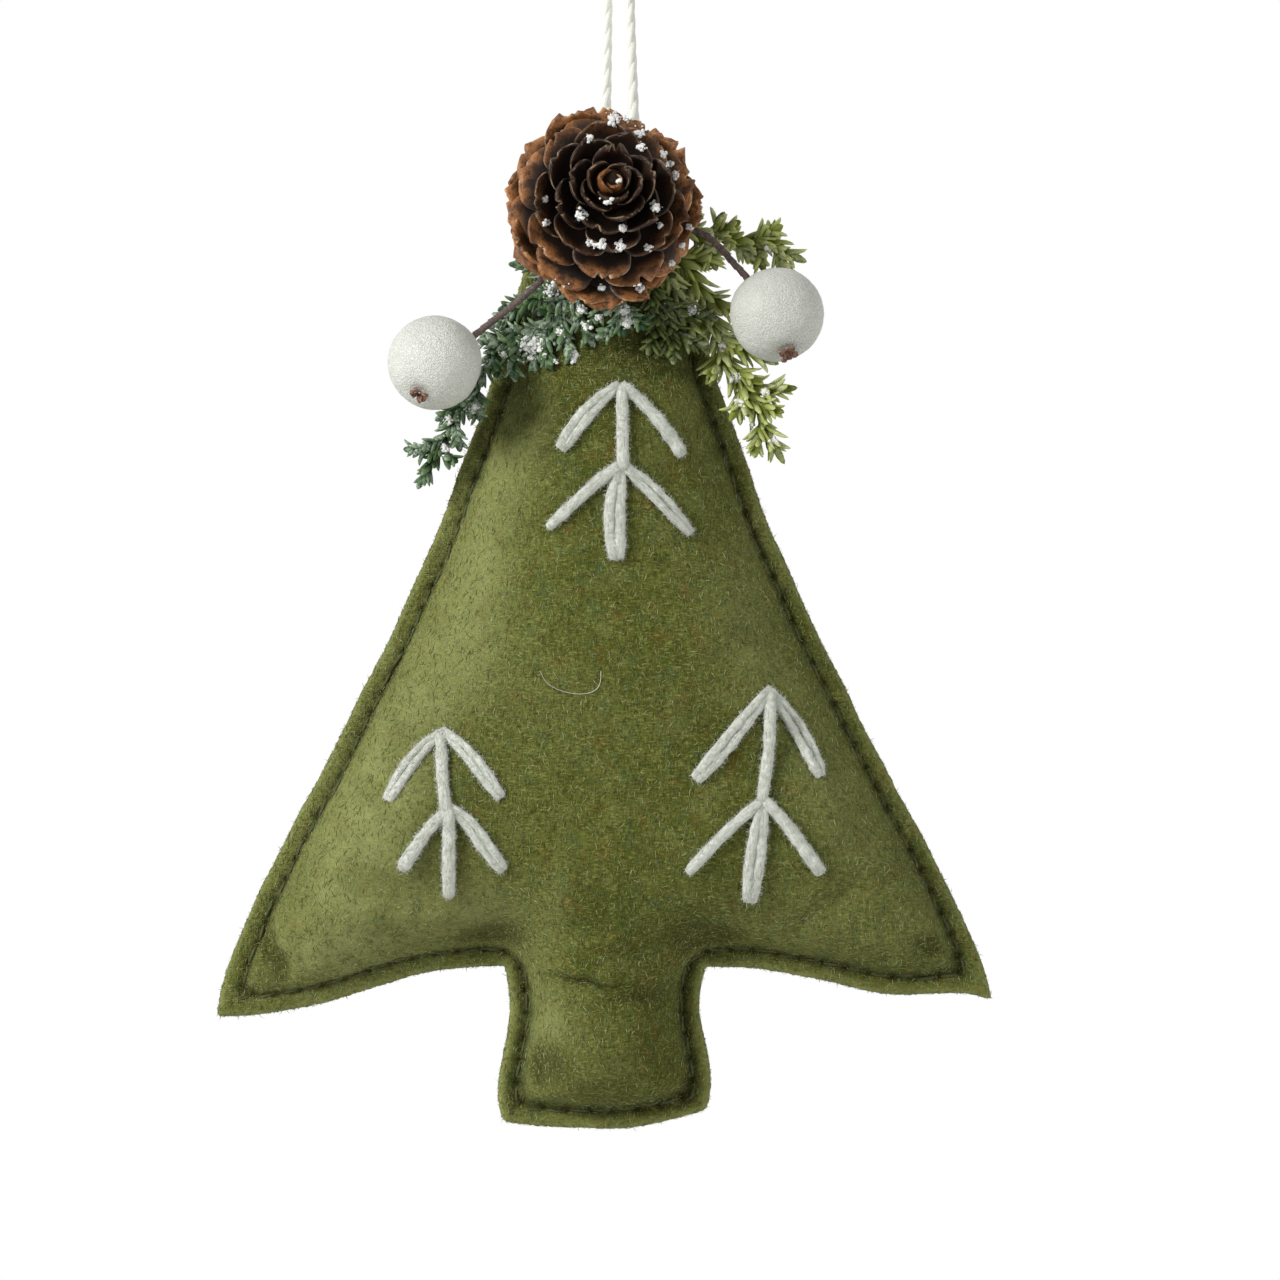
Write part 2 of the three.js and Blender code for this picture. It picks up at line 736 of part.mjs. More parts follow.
// Berries: the middle and a place that the stem passes, in shares of their reach from the bouquet's
// middle, and the ways that the stem leaves the glue and the berry and that the calyx faces
const berries = {
  left: {
    placeShares: [-0.949, -0.614, -0.863],
    passShares: [-0.346, -0.58, -0.395],
    rimShares: [-0.77, 0, -0.64],
    socketShares: [0.75, 0.35, 0.55],
    calyxShares: [-0.32, -0.66, -0.68],
  },
  right: {
    placeShares: [1.015, -0.682, -0.59],
    passShares: [0.563, -0.5, -0.103],
    rimShares: [0.89, 0, -0.45],
    socketShares: [-0.616, 0.23, 0.754],
    calyxShares: [0.22, -0.56, -0.8],
  },
};
const unit = (shares) => new THREE.Vector3(...shares).normalize();
const reached = (shares) => new THREE.Vector3(...shares).multiplyScalar(berryReach);
const upright = new THREE.Vector3(0, 1, 0);

function berrySolid(facing) {
  const radius = berryDiameter / 2;
  const steps = 10;
  const profile = Array.from({ length: steps + 1 }, (_, i) => {
    const angle = Math.PI * (i / steps - 0.5);
    const r = i % steps ? radius * Math.cos(angle) : 0;
    const dimple = berryDimple * Math.exp(-((r / dimpleWidth) ** 2));
    return new THREE.Vector2(r, radius * Math.sin(angle) - (angle > 0 ? dimple : 0));
  });
  return new THREE.LatheGeometry(profile, 18).applyQuaternion(
    new THREE.Quaternion().setFromUnitVectors(upright, facing),
  );
}

// A pointed leaf from a root, as a flat eight-sided blade
function blade(root, direction, length, width, thickness) {
  const geometry = new THREE.OctahedronGeometry(1);
  geometry.scale(width / 2, length / 2, thickness / 2).translate(0, length / 2, 0);
  geometry.applyQuaternion(new THREE.Quaternion().setFromUnitVectors(upright, direction));
  return geometry.translate(...root.toArray());
}

// Dried crown of sepals at the far end of a berry
function calyxSolid(facing) {
  const radius = calyxDiameter / 2;
  const seat = berryDiameter / 2 - berryDimple + gap;
  const disc = new THREE.CylinderGeometry(radius * calyxTopShare, radius, calyxHeight, 8);
  disc.translate(0, seat + calyxHeight / 2, 0);
  const leaves = Array.from({ length: sepals }, (_, k) => {
    const angle = (2 * Math.PI * k) / sepals;
    const direction = unit([Math.cos(angle), sepalRiseShare, Math.sin(angle)]);
    const root = new THREE.Vector3(0, seat + calyxHeight / 2, 0);
    return blade(root, direction, sepalLength, sepalWidth, sepalThickness);
  });
  return joined([disc, ...leaves]).applyQuaternion(
    new THREE.Quaternion().setFromUnitVectors(upright, facing),
  );
}

// Place just outside the glue's rim, towards a place further out, with its height above the felt
function atRim(towards, lift) {
  const angle = Math.atan2(towards.z, towards.x);
  const side = mix(glueRadius, coreRadius, lift / (gap + glueDepth));
  const radius = side + gap + twigDiameter / 2;
  const x = radius * Math.cos(angle);
  const z = radius * Math.sin(angle);
  return new THREE.Vector3(x, bouquetFront(x, z) - lift, z);
}

// Paper-wrapped wire from the back of a berry to the glue behind the cone
function berryStem(berry) {
  const radius = berryStemDiameter / 2;
  const centre = reached(berry.placeShares);
  const socket = unit(berry.socketShares);
  const start = centre.clone().addScaledVector(socket, berryDiameter / 2 + gap);
  const clear = centre.clone().addScaledVector(socket, berryDiameter / 2 + berryStemDiameter * 2);
  const pass = reached(berry.passShares);
  const root = atRim(unit(berry.rimShares), berryStemLift);
  const curve = new THREE.CatmullRomCurve3([start, clear, pass, root]);
  return rod(curve, 10, 7, () => radius);
}

// Sprigs: the twig's places in shares of its reach, the share of it that is bare, and its needles'
// length and width in shares of the named ones
const sprigs = {
  sprig_left: {
    reach: leftSprigReach,
    routeShares: [[-0.175, -0.21], [-0.29, -0.357], [-0.35, -0.474], [-0.438, -0.62], [-0.511, -0.76]],
    bareShare: 0.14,
    lengthShare: 1,
    widthShare: 1,
    rows: 13,
    finish: darkGreenFinish,
  },
  sprig_centre_left: {
    reach: centreLeftSprigReach,
    routeShares: [[-0.195, -0.53], [-0.335, -0.71], [-0.495, -0.89]],
    bareShare: 0.3,
    lengthShare: 0.9,
    widthShare: 1,
    rows: 7,
    finish: darkGreenFinish,
  },
  sprig_centre: {
    reach: centreSprigReach,
    routeShares: [[0.15, -0.54], [0.18, -0.86]],
    bareShare: 0.25,
    lengthShare: 0.86,
    widthShare: 1,
    rows: 6,
    finish: darkGreenFinish,
  },
  sprig_centre_right: {
    reach: centreRightSprigReach,
    routeShares: [[0.326, -0.43], [0.446, -0.67], [0.476, -0.89]],
    bareShare: 0.3,
    lengthShare: 0.9,
    widthShare: 1.1,
    rows: 7,
    finish: limeGreenFinish,
  },
  sprig_right_lower: {
    reach: rightLowerSprigReach,
    routeShares: [[0.283, -0.166], [0.353, -0.316], [0.403, -0.466], [0.488, -0.596], [0.573, -0.716]],
    bareShare: 0.14,
    lengthShare: 0.95,
    widthShare: 1.25,
    rows: 10,
    finish: limeGreenFinish,
  },
  sprig_right_upper: {
    reach: rightUpperSprigReach,
    routeShares: [[0.469, -0.064], [0.639, -0.084], [0.829, -0.134], [0.949, -0.169]],
    bareShare: 0.3,
    lengthShare: 0.8,
    widthShare: 1.45,
    rows: 9,
    finish: limeGreenFinish,
  },
};

// Moulded needles leave the twig in threes: one to each side and one to the front
function sprigSolid(sprig) {
  const outer = sprig.routeShares.map(([side, up]) => {
    const [x, z] = [sprig.reach * side, sprig.reach * up];
    return new THREE.Vector3(x, bouquetFront(x, z) - twigLift, z);
  });
  const curve = new THREE.CatmullRomCurve3([atRim(outer[0], twigRootLift), ...outer]);
  const taper = (t) => mix(twigDiameter, twigTipDiameter, t) / 2;
  const pieces = [rod(curve, 8, 5, taper)];
  const forward = new THREE.Vector3(0, -1, 0);
  for (let row = 0; row < sprig.rows; row++) {
    const t = mix(sprig.bareShare, lastNeedleShare, row / (sprig.rows - 1));
    const root = curve.getPointAt(t);
    const along = curve.getTangentAt(t);
    const side = new THREE.Vector3().crossVectors(along, forward).normalize();
    const length = needleLength * sprig.lengthShare * (row % 2 ? 1 : shortNeedleShare);
    for (const [on, aside, ahead] of needleWayShares) {
      const direction = along.clone().multiplyScalar(on).addScaledVector(side, aside);
      direction.addScaledVector(forward, ahead).normalize();
      pieces.push(blade(root, direction, length, needleWidth * sprig.widthShare, needleThickness));
    }
  }
  return joined(pieces);
}

function twineLoop() {
  const sides = 8;
  const section = new THREE.Shape();
  for (let k = 0; k < sides; k++) {
    const angle = (2 * Math.PI * (k + 0.5)) / sides;
    const point = [Math.cos(angle), Math.sin(angle)].map((c) => (c * twineDiameter) / 2);
    if (k) section.lineTo(...point);
    else section.moveTo(...point);
  }
  const route = new THREE.CatmullRomCurve3(twineRoute.map((p) => new THREE.Vector3(...p)));
  return new THREE.ExtrudeGeometry(section, { steps: 32, extrudePath: route, bevelEnabled: false });
}

// The ornament, put together from the felt tree outwards
const tree = new THREE.Group();
tree.position.set(-hookSide, 0, -hookHeight);
tree.add(named("felt_front", feltPanel(true), feltFinish));
tree.add(named("felt_back", feltPanel(false), feltFinish));
tree.add(named("stuffing", stuffingSolid(), fillFinish));
tree.add(named("seam_thread_front", seamThread(true), threadFinish));
tree.add(named("seam_thread_back", seamThread(false), threadFinish));
for (const [name, set] of Object.entries(stitchSets)) {
  tree.add(named(name, woolTree(set), woolFinish));
}

const bouquet = new THREE.Group();
bouquet.position.set(-bouquetSide, 0, middleHeight);
bouquet.add(named("glue_pad", glueSolid(), glueFinish));
const cone = named("pine_cone", pineConeSolid(), coneFinish);
cone.position.set(0, coneSeat, 0);
cone.rotation.copy(coneTurn);
bouquet.add(cone);
for (const [side, berry] of Object.entries(berries)) {
  const facing = unit(berry.calyxShares);
  const ball = named(`berry_${side}`, berrySolid(facing), berryFinish);
  ball.position.copy(reached(berry.placeShares));
  const calyx = named(`berry_${side}_calyx`, calyxSolid(facing), calyxFinish);
  calyx.position.copy(ball.position);
  bouquet.add(ball, calyx, named(`berry_${side}_stem`, berryStem(berry), stemFinish));
}
for (const [name, sprig] of Object.entries(sprigs)) {
  bouquet.add(named(name, sprigSolid(sprig), sprig.finish));
}
tree.add(bouquet);

const ornament = new THREE.Group();
ornament.add(tree, named("hanging_cord", twineLoop(), twineFinish));

export default ornament;
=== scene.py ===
# %% [markdown]
# A christmas ornament: a stuffed tree of green felt, with three small trees stitched on its face in pale
# wool, and a pine cone, frosted berries and plastic sprigs glued at its top. It hangs by a loop of twine.
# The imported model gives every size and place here. This lesson dresses it piece by piece.

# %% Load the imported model
import math

import bmesh
import bpy
import numpy as np
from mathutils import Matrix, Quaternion, Vector, noise
from mathutils.bvhtree import BVHTree


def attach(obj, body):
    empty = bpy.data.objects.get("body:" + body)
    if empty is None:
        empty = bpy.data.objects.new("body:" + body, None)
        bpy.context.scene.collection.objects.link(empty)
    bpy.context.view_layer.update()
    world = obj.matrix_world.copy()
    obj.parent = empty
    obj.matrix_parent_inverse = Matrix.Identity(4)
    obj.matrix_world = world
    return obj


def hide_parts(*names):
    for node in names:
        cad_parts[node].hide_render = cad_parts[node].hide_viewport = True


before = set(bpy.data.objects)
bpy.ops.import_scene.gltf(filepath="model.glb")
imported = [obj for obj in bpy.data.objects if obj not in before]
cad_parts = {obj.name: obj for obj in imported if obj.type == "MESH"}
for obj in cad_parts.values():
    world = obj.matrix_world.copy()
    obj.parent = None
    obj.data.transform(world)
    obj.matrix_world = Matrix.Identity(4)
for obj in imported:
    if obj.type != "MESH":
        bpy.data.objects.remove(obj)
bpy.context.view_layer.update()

MM = 0.001

# %% [markdown]
# An operator acts on all that is selected, and the loaded nodes are selected now. So each step starts by
# letting go of everything and taking only the piece that it works on.

# %% Selecting, finishing and measuring pieces
def let_go():
    if bpy.context.object and bpy.context.object.mode != "OBJECT":
        bpy.ops.object.mode_set(mode="OBJECT")
    bpy.ops.object.select_all(action="DESELECT")


def take(piece):
    let_go()
    piece.select_set(True)
    bpy.context.view_layer.objects.active = piece
    return piece


def settle_place(piece):
    """Moves the object's own place, turn and size into its mesh."""
    take(piece)
    bpy.ops.object.transform_apply(location=True, rotation=True, scale=True)
    return piece


def points_of(mesh):
    co = np.zeros(len(mesh.vertices) * 3, np.float32)
    mesh.vertices.foreach_get("co", co)
    return co.reshape(-1, 3).astype(float)


def set_points(mesh, points):
    mesh.vertices.foreach_set("co", np.asarray(points, np.float32).ravel())
    mesh.update()


def report(piece):
    triangles = sum(len(p.vertices) - 2 for p in piece.data.polygons)
    low, high = points_of(piece.data).min(0) / MM, points_of(piece.data).max(0) / MM
    print(f"{piece.name}: {triangles} triangles, from {low.round(1)} to {high.round(1)} mm")


def piece_from(name, points, faces):
    """A new piece from points in metres and faces that name them by number."""
    mesh = bpy.data.meshes.new(name)
    mesh.from_pydata([tuple(p) for p in points], [], [tuple(f) for f in faces])
    mesh.validate()
    piece = bpy.data.objects.new(name, mesh)
    bpy.context.scene.collection.objects.link(piece)
    mesh.shade_smooth()
    return piece


def store(piece, name, values):
    """Keeps one number for each point, which a material can read."""
    layer = piece.data.attributes.new(name, "FLOAT", "POINT")
    layer.data.foreach_set("value", np.asarray(values, np.float32))


def hand_over(piece, material, slot, *nodes):
    """The piece gets its material, rides on the one body, and stands for its CAD nodes. The slot is not used.
    """
    piece.data.materials.clear()
    piece.data.materials.append(material)
    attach(piece, "root")
    if nodes:
        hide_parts(*nodes)
    report(piece)
    return piece


# %% [markdown]
# The photograph looks straight at the ornament. A long lens from nearly a metre away gives the same calm
# perspective, in which the cone in front looks only a little larger than the felt behind it.

# %% Camera
camera_place, camera_lens, camera_film = (0.00314, -0.9126, -0.10056), 200, 36
let_go()
bpy.ops.object.camera_add(location=camera_place, rotation=(math.pi / 2, 0, 0))
camera = bpy.context.object
camera.name = "photo_camera"
camera.data.lens = camera_lens
camera.data.sensor_width = camera_film
camera.data.clip_start = 0.01
bpy.context.scene.camera = camera
bpy.context.scene.view_settings.view_transform = "Standard"

# %% [markdown]
# A colour should render about as it is written, so the sky and the lamps together come to a level of
# about one on a surface that faces them. The sky looks white to the camera and in reflections, and gives
# less light than it shows. The large lamp hangs to the upper left in front, as in the photograph.

# %% World and lamps
sky_light, sky_seen = 0.30, 1
world = bpy.data.worlds.new("studio_sky")
bpy.context.scene.world = world
world.use_nodes = True
sky = world.node_tree
sky.nodes.clear()
rays = sky.nodes.new("ShaderNodeLightPath")
shown = rays.outputs["Is Camera Ray"]
for ray in ("Is Glossy Ray", "Is Transmission Ray"):
    either = sky.nodes.new("ShaderNodeMath")
    either.operation = "MAXIMUM"
    sky.links.new(shown, either.inputs[0])
    sky.links.new(rays.outputs[ray], either.inputs[1])
    shown = either.outputs[0]
blend_sky = sky.nodes.new("ShaderNodeMixShader")
sky.links.new(shown, blend_sky.inputs["Fac"])
for number, strength in ((1, sky_light), (2, sky_seen)):
    white_sky = sky.nodes.new("ShaderNodeBackground")
    white_sky.inputs["Color"].default_value = (1, 1, 1, 1)
    white_sky.inputs["Strength"].default_value = strength
    sky.links.new(white_sky.outputs[0], blend_sky.inputs[number])
sky_out = sky.nodes.new("ShaderNodeOutputWorld")
sky.links.new(blend_sky.outputs[0], sky_out.inputs["Surface"])

tree_middle = Vector((0, 0, -95)) * MM


def soft_lamp(name, place, width, share):
    """A square lamp aimed at the tree. Share is how much of a colour it alone would show."""
    let_go()
    bpy.ops.object.light_add(type="AREA", location=place)
    lamp = bpy.context.object
    lamp.name = name
    lamp.data.size = width
    towards = tree_middle - lamp.location
    lamp.rotation_euler = towards.to_track_quat("-Z", "Y").to_euler()
    lamp.data.energy = share * math.pi ** 2 * towards.length ** 2
    print(f"{name}: {lamp.data.energy:.2f} W at {towards.length:.2f} m")


soft_lamp("key_lamp", (-0.72, -0.55, 0.34), 0.36, 1.12)
soft_lamp("fill_lamp", (0.85, -0.42, 0.02), 0.45, 0.34)

# %% [markdown]
# A pale round floor lies well below the hanging ornament. It is a disc whose rim is turned up a little by
# an inset and a lift, so that its edge stays soft from every side.

# %% Floor
floor_radius, floor_height, floor_rim, rim_lift = 0.7, -0.30, 0.05, -0.004
let_go()
bpy.ops.mesh.primitive_circle_add(
    vertices=96, radius=floor_radius, fill_type="NGON", location=(0, 0, floor_height)
)
floor = bpy.context.object
floor.name = "floor"
bpy.ops.object.mode_set(mode="EDIT")
bpy.ops.mesh.inset(thickness=floor_rim, depth=rim_lift)
bpy.ops.object.mode_set(mode="OBJECT")
settle_place(floor)
floor_paint = bpy.data.materials.new("floor_paint")
floor_paint.use_nodes = True
floor_shader = floor_paint.node_tree.nodes["Principled BSDF"]
floor_shader.inputs["Base Color"].default_value = (0.8, 0.8, 0.79, 1)
floor_shader.inputs["Roughness"].default_value = 0.9
floor.data.materials.append(floor_paint)

# %% [markdown]
# Materials are small networks of nodes. These helpers make one with a few plain words: noise for a
# texture in millimetres, a blend of two colours, an attribute that the mesh carries, and a bump.

# %% Helpers for materials
class Finish:
    """A material with a Principled shader and helpers that add nodes to it."""

    def __init__(self, name, roughness, **sockets):
        """Sheen_Weight=0.2 sets the shader's socket Sheen Weight, and so on."""
        self.material = bpy.data.materials.new(name)
        self.material.use_nodes = True
        self.tree = self.material.node_tree
        self.shader = self.tree.nodes["Principled BSDF"]
        for socket, value in {"Roughness": roughness, **sockets}.items():
            self.shader.inputs[socket.replace("_", " ")].default_value = value
        self.place = self.tree.nodes.new("ShaderNodeTexCoord").outputs["Object"]

    def node(self, kind, **settings):
        made = self.tree.nodes.new(kind)
        for name, value in settings.items():
            setattr(made, name, value)
        return made

    def join(self, source, target):
        if isinstance(source, (int, float)):
            target.default_value = source
        elif isinstance(source, tuple):
            target.default_value = (*source, 1)
        else:
            self.tree.links.new(source, target)

    def mapped(self, place, sizes, turn=(0, 0, 0)):
        """A place, drawn out so that one unit is this many millimetres along each axis."""
        mapping = self.node("ShaderNodeMapping")
        mapping.inputs["Rotation"].default_value = turn
        mapping.inputs["Scale"].default_value = [1 / (size * MM) for size in sizes]
        self.join(place, mapping.inputs["Vector"])
        return mapping.outputs["Vector"]

    def stretched(self, sizes, turn=(0, 0, 0)):
        """Object coordinates, drawn out in millimetres."""
        return self.mapped(self.place, sizes, turn)

    def along_strand(self, sizes):
        """The lay that tubes carry, drawn out in millimetres: along the strand, then round it."""
        lay = self.node("ShaderNodeAttribute", attribute_name="lay").outputs["Vector"]
        return self.mapped(lay, sizes)

    def noise(self, size, detail=2, roughness=0.5, at=None, distortion=0):
        """Noise whose blobs are about size millimetres, or the given stretched place."""
        made = self.node("ShaderNodeTexNoise")
        made.inputs["Detail"].default_value = detail
        made.inputs["Roughness"].default_value = roughness
        made.inputs["Distortion"].default_value = distortion
        made.inputs["Scale"].default_value = 1 if at is not None else 1 / (size * MM)
        self.join(self.place if at is None else at, made.inputs["Vector"])
        return made.outputs["Fac"]

    def cells(self, size):
        """How far the middle of the nearest cell is, where cells are about size millimetres."""
        made = self.node("ShaderNodeTexVoronoi")
        made.inputs["Scale"].default_value = 1 / (size * MM)
        self.join(self.place, made.inputs["Vector"])
        return made.outputs["Distance"]

    def attribute(self, name):
        return self.node("ShaderNodeAttribute", attribute_name=name).outputs["Fac"]

    def between(self, value, low, high, start=0, end=1):
        """Value from low to high becomes start to end, and stays there outside."""
        made = self.node("ShaderNodeMapRange", interpolation_type="SMOOTHSTEP")
        for key, number in (("From Min", low), ("From Max", high), ("To Min", start), ("To Max", end)):
            made.inputs[key].default_value = number
        self.join(value, made.inputs["Value"])
        return made.outputs["Result"]

    def times(self, first, second):
        made = self.node("ShaderNodeMath", operation="MULTIPLY")
        self.join(first, made.inputs[0])
        self.join(second, made.inputs[1])
        return made.outputs[0]

    def pick(self, operation, first, second):
        """The MAXIMUM or the MINIMUM of two values."""
        made = self.node("ShaderNodeMath", operation=operation)
        self.join(first, made.inputs[0])
        self.join(second, made.inputs[1])
        return made.outputs[0]

    def mix(self, factor, first, second):
        made = self.node("ShaderNodeMix", data_type="RGBA")
        for number, source in ((0, factor), (6, first), (7, second)):
            self.join(source, made.inputs[number])
        return made.outputs[2]

    def tinted(self, colour, value, low, high, share, tint):
        """The colour with a tint over it: none where value is low, and share of it where it is high."""
        return self.mix(self.between(value, low, high, 0, share), colour, tint)

    def bump(self, height, distance, strength=1.0, over=None):
        """Raises the surface by up to distance millimetres where height is one."""
        made = self.node("ShaderNodeBump")
        made.inputs["Strength"].default_value = strength
        made.inputs["Distance"].default_value = distance * MM
        self.join(height, made.inputs["Height"])
        if over is not None:
            self.join(over, made.inputs["Normal"])
        return made.outputs["Normal"]

    def done(self, colour, normal=None):
        self.join(colour, self.shader.inputs["Base Color"])
        if normal is not None:
            self.join(normal, self.shader.inputs["Normal"])
        return self.material


# %% [markdown]
# The twine is cotton: three thin plies laid round each other. One ply could be a bent cylinder, but a
# tube whose ring centres circle the route keeps the lay even all the way round the loop. The route is the
# CAD route, and both ends go on down between the two felts, where they are sewn in.

# %% Twine route
twine_places = [
    (-1.36, -38.4), (-1.32, -36.2), (-1.3, -33), (-1.26, -30), (-1.22, -27), (-1.18, -24),
    (-1.14, -21), (-1.12, -18), (-1.18, -15.5), (-1.42, -13), (-1.85, -10.5), (-2.4, -8),
    (-2.9, -5.5), (-3.12, -3.2), (-2.85, -1.2), (-1.9, 0.15), (0, 0.75), (1.9, 0.15), (2.85, -1.2),
    (3.12, -3.2), (2.9, -5.5), (2.45, -8), (2.05, -10.5), (1.8, -13), (1.7, -15.5), (1.73, -18),
    (1.8, -21), (1.9, -24), (2.02, -27), (2.15, -30), (2.28, -33), (2.43, -36.2), (2.5, -38.4),
]


def run_of(line):
    """How far along the line each of its points is."""
    return np.concatenate([[0], np.cumsum(np.linalg.norm(np.diff(line, axis=0), axis=1))])


def smooth_route(places, step):
    """Points a step apart on a smooth curve through the places, all in metres."""
    places = np.asarray(places, float)
    ends = np.vstack([2 * places[0] - places[1], places, 2 * places[-1] - places[-2]])
    fine = []
    for a, b, c, d in zip(ends, ends[1:], ends[2:], ends[3:]):
        t = np.linspace(0, 1, 24, endpoint=False)[:, None]
        fine.append(
            0.5 * (2 * b + (c - a) * t + (2 * a - 5 * b + 4 * c - d) * t ** 2
                   + (3 * b - a - 3 * c + d) * t ** 3)
        )
    fine = np.vstack([*fine, places[-1:]])
    run = run_of(fine)
    count = max(2, round(run[-1] / step) + 1)
    where = np.linspace(0, run[-1], count)
    return np.stack([np.interp(where, run, side) for side in fine.T], axis=1), run[-1]


twine_line, twine_length = smooth_route([(x * MM, 0, z * MM) for x, z in twine_places], 0.2 * MM)
print(f"twine: {twine_length / MM:.1f} mm along its centre line, {len(twine_line)} rings")

# %% [markdown]
# A strand, a stem or a hair is a ring of points carried along a line. The rings must not twist on the way,
# so each takes the direction of the one before it, made square to the line again. Each point also keeps
# how far along the strand and where round it lies, which lets a material follow the strand.

# %% Helpers for tubes
def unit(vectors, least=0):
    """The same directions, each one long."""
    vectors = np.asarray(vectors, float)
    return vectors / np.maximum(np.linalg.norm(vectors, axis=-1, keepdims=True), least)


def round_turn(sides):
    return math.tau * np.arange(sides) / sides


def bands(rings, sides):
    """Faces that join each ring of points to the next."""
    return [(i + k, i + (k + 1) % sides, i + sides + (k + 1) % sides, i + sides + k)
            for i in range(0, (rings - 1) * sides, sides) for k in range(sides)]


def frames_along(line):
    """Directions along a line and two that are square to it and turn as little as possible."""
    ahead = unit(np.gradient(line, axis=0))
    first = np.cross(ahead[0], (0, 1, 0))
    if np.linalg.norm(first) < 0.1:
        first = np.cross(ahead[0], (1, 0, 0))
    aside = [unit(first)]
    for direction in ahead[1:]:
        aside.append(unit(aside[-1] - direction * (aside[-1] @ direction)))
    aside = np.array(aside)
    return ahead, aside, np.cross(ahead, aside)


def tube(line, radii, sides, flat=1.0, up=None, cap_bulge=0.4):
    """Points, faces and lay of a closed tube: the lay says how far along and where round each point is.
    radii has one value a ring, or one for each side of each ring. flat squashes it towards up."""
    ahead, aside, across = frames_along(line)
    if up is not None:
        aside = unit(np.cross(ahead, up))
        across = np.cross(ahead, aside) * flat
    angle = round_turn(sides)
    radii = np.asarray(radii, float)
    if radii.ndim == 1:
        radii = np.repeat(radii[:, None], sides, axis=1)
    rings = line[:, None] + radii[..., None] * (
        np.cos(angle)[None, :, None] * aside[:, None] + np.sin(angle)[None, :, None] * across[:, None]
    )
    points = [*rings.reshape(-1, 3), line[0] - ahead[0] * radii[0, 0] * cap_bulge,
              line[-1] + ahead[-1] * radii[-1, 0] * cap_bulge]
    run = np.repeat(run_of(line)[:, None], sides, axis=1)
    lay = np.stack([run, radii * np.cos(angle), radii * np.sin(angle)], axis=2).reshape(-1, 3)
    lay = np.vstack([lay, (0, 0, 0), (run[-1, 0], 0, 0)])
    last, first_cap, last_cap = (len(line) - 1) * sides, len(line) * sides, len(line) * sides + 1
    faces = bands(len(line), sides)
    for k in range(sides):
        j = (k + 1) % sides
        faces += [(first_cap, j, k), (last_cap, last + k, last + j)]
    return np.array(points), faces, lay


def joined(lots):
    """Points and faces of several lots as one: the faces of each lot count on from the lots before it."""
    starts = np.cumsum([0] + [len(lot[0]) for lot in lots]).tolist()
    faces = [tuple(v + start for v in face) for start, lot in zip(starts, lots) for face in lot[1]]
    return np.vstack([lot[0] for lot in lots]), faces


def piece_from_parts(name, parts):
    """One piece from several tubes. The lay of each starts at a place of its own."""
    piece = piece_from(name, *joined(parts))
    lays = [part[2] + np.array([number * 0.37, number * 0.0113, 0]) for number, part in enumerate(parts)]
    layer = piece.data.attributes.new("lay", "FLOAT_VECTOR", "POINT")
    layer.data.foreach_set("vector", np.vstack(lays).astype(np.float32).ravel())
    which = [[(number * 0.618) % 1] * len(part[0]) for number, part in enumerate(parts)]
    store(piece, "which", np.concatenate(which))
    return piece


# %% [markdown]
# Each ply is a tube that circles the route once in seven and a half millimetres. The three start a third
# of a turn apart, and their grooves, with fine streaks along them, read as laid cotton.

# %% Twine of three plies
ply_radius = 0.55 * MM
ply_offset = 0.2 * MM
lay_length = 7.5 * MM


def plies(line, offset, radius, lay, sides=8, count=3):
    ahead, aside, across = frames_along(line)
    made = []
    for ply in range(count):
        turn = math.tau * (run_of(line) / lay + ply / count)
        centre = line + offset * (np.cos(turn)[:, None] * aside + np.sin(turn)[:, None] * across)
        made.append(tube(centre, np.full(len(line), radius), sides))
    return made


twine = piece_from_parts("hanging_twine", plies(twine_line, ply_offset, ply_radius, lay_length))
cotton = Finish("twine_cotton", 0.9, Sheen_Weight=0.2, Specular_IOR_Level=0.2)
strands = cotton.noise(1, 3, 0.6, at=cotton.along_strand((1.1, 0.12, 0.12)))
cotton_colour = cotton.mix(cotton.between(strands, 0.3, 0.7), (0.76, 0.755, 0.66), (0.9, 0.9, 0.83))
hand_over(twine, cotton.done(cotton_colour, cotton.bump(strands, 0.06)), "twine", "hanging_cord")

# %% [markdown]
# The two felts are cut from one pattern. The pattern is read from the rim of the CAD felt, whose points
# are joined by smooth curves between the sharp corners, with the slight wobble of scissors.

# %% Outline of the felt
def rim_of_felt():
    """The rim of the front felt's outer face, as one loop of places (x, z) in metres."""
    shell = bmesh.new()
    shell.from_mesh(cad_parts["felt_front"].data)
    bmesh.ops.remove_doubles(shell, verts=shell.verts, dist=1e-6)
    inner = [face for face in shell.faces if face.normal.y > -0.25]
    bmesh.ops.delete(shell, geom=inner, context="FACES")
    edges = [edge for edge in shell.edges if len(edge.link_faces) == 1]
    beside = {}
    for edge in edges:
        for vert in edge.verts:
            beside.setdefault(vert, []).append(edge)
    start = here = edges[0].verts[0]
    edge, loop = edges[0], []
    while True:
        loop.append((here.co.x, here.co.z))
        here = edge.other_vert(here)
        edge = [other for other in beside[here] if other != edge][0]
        if here == start:
            break
    shell.free()
    return np.array(loop)


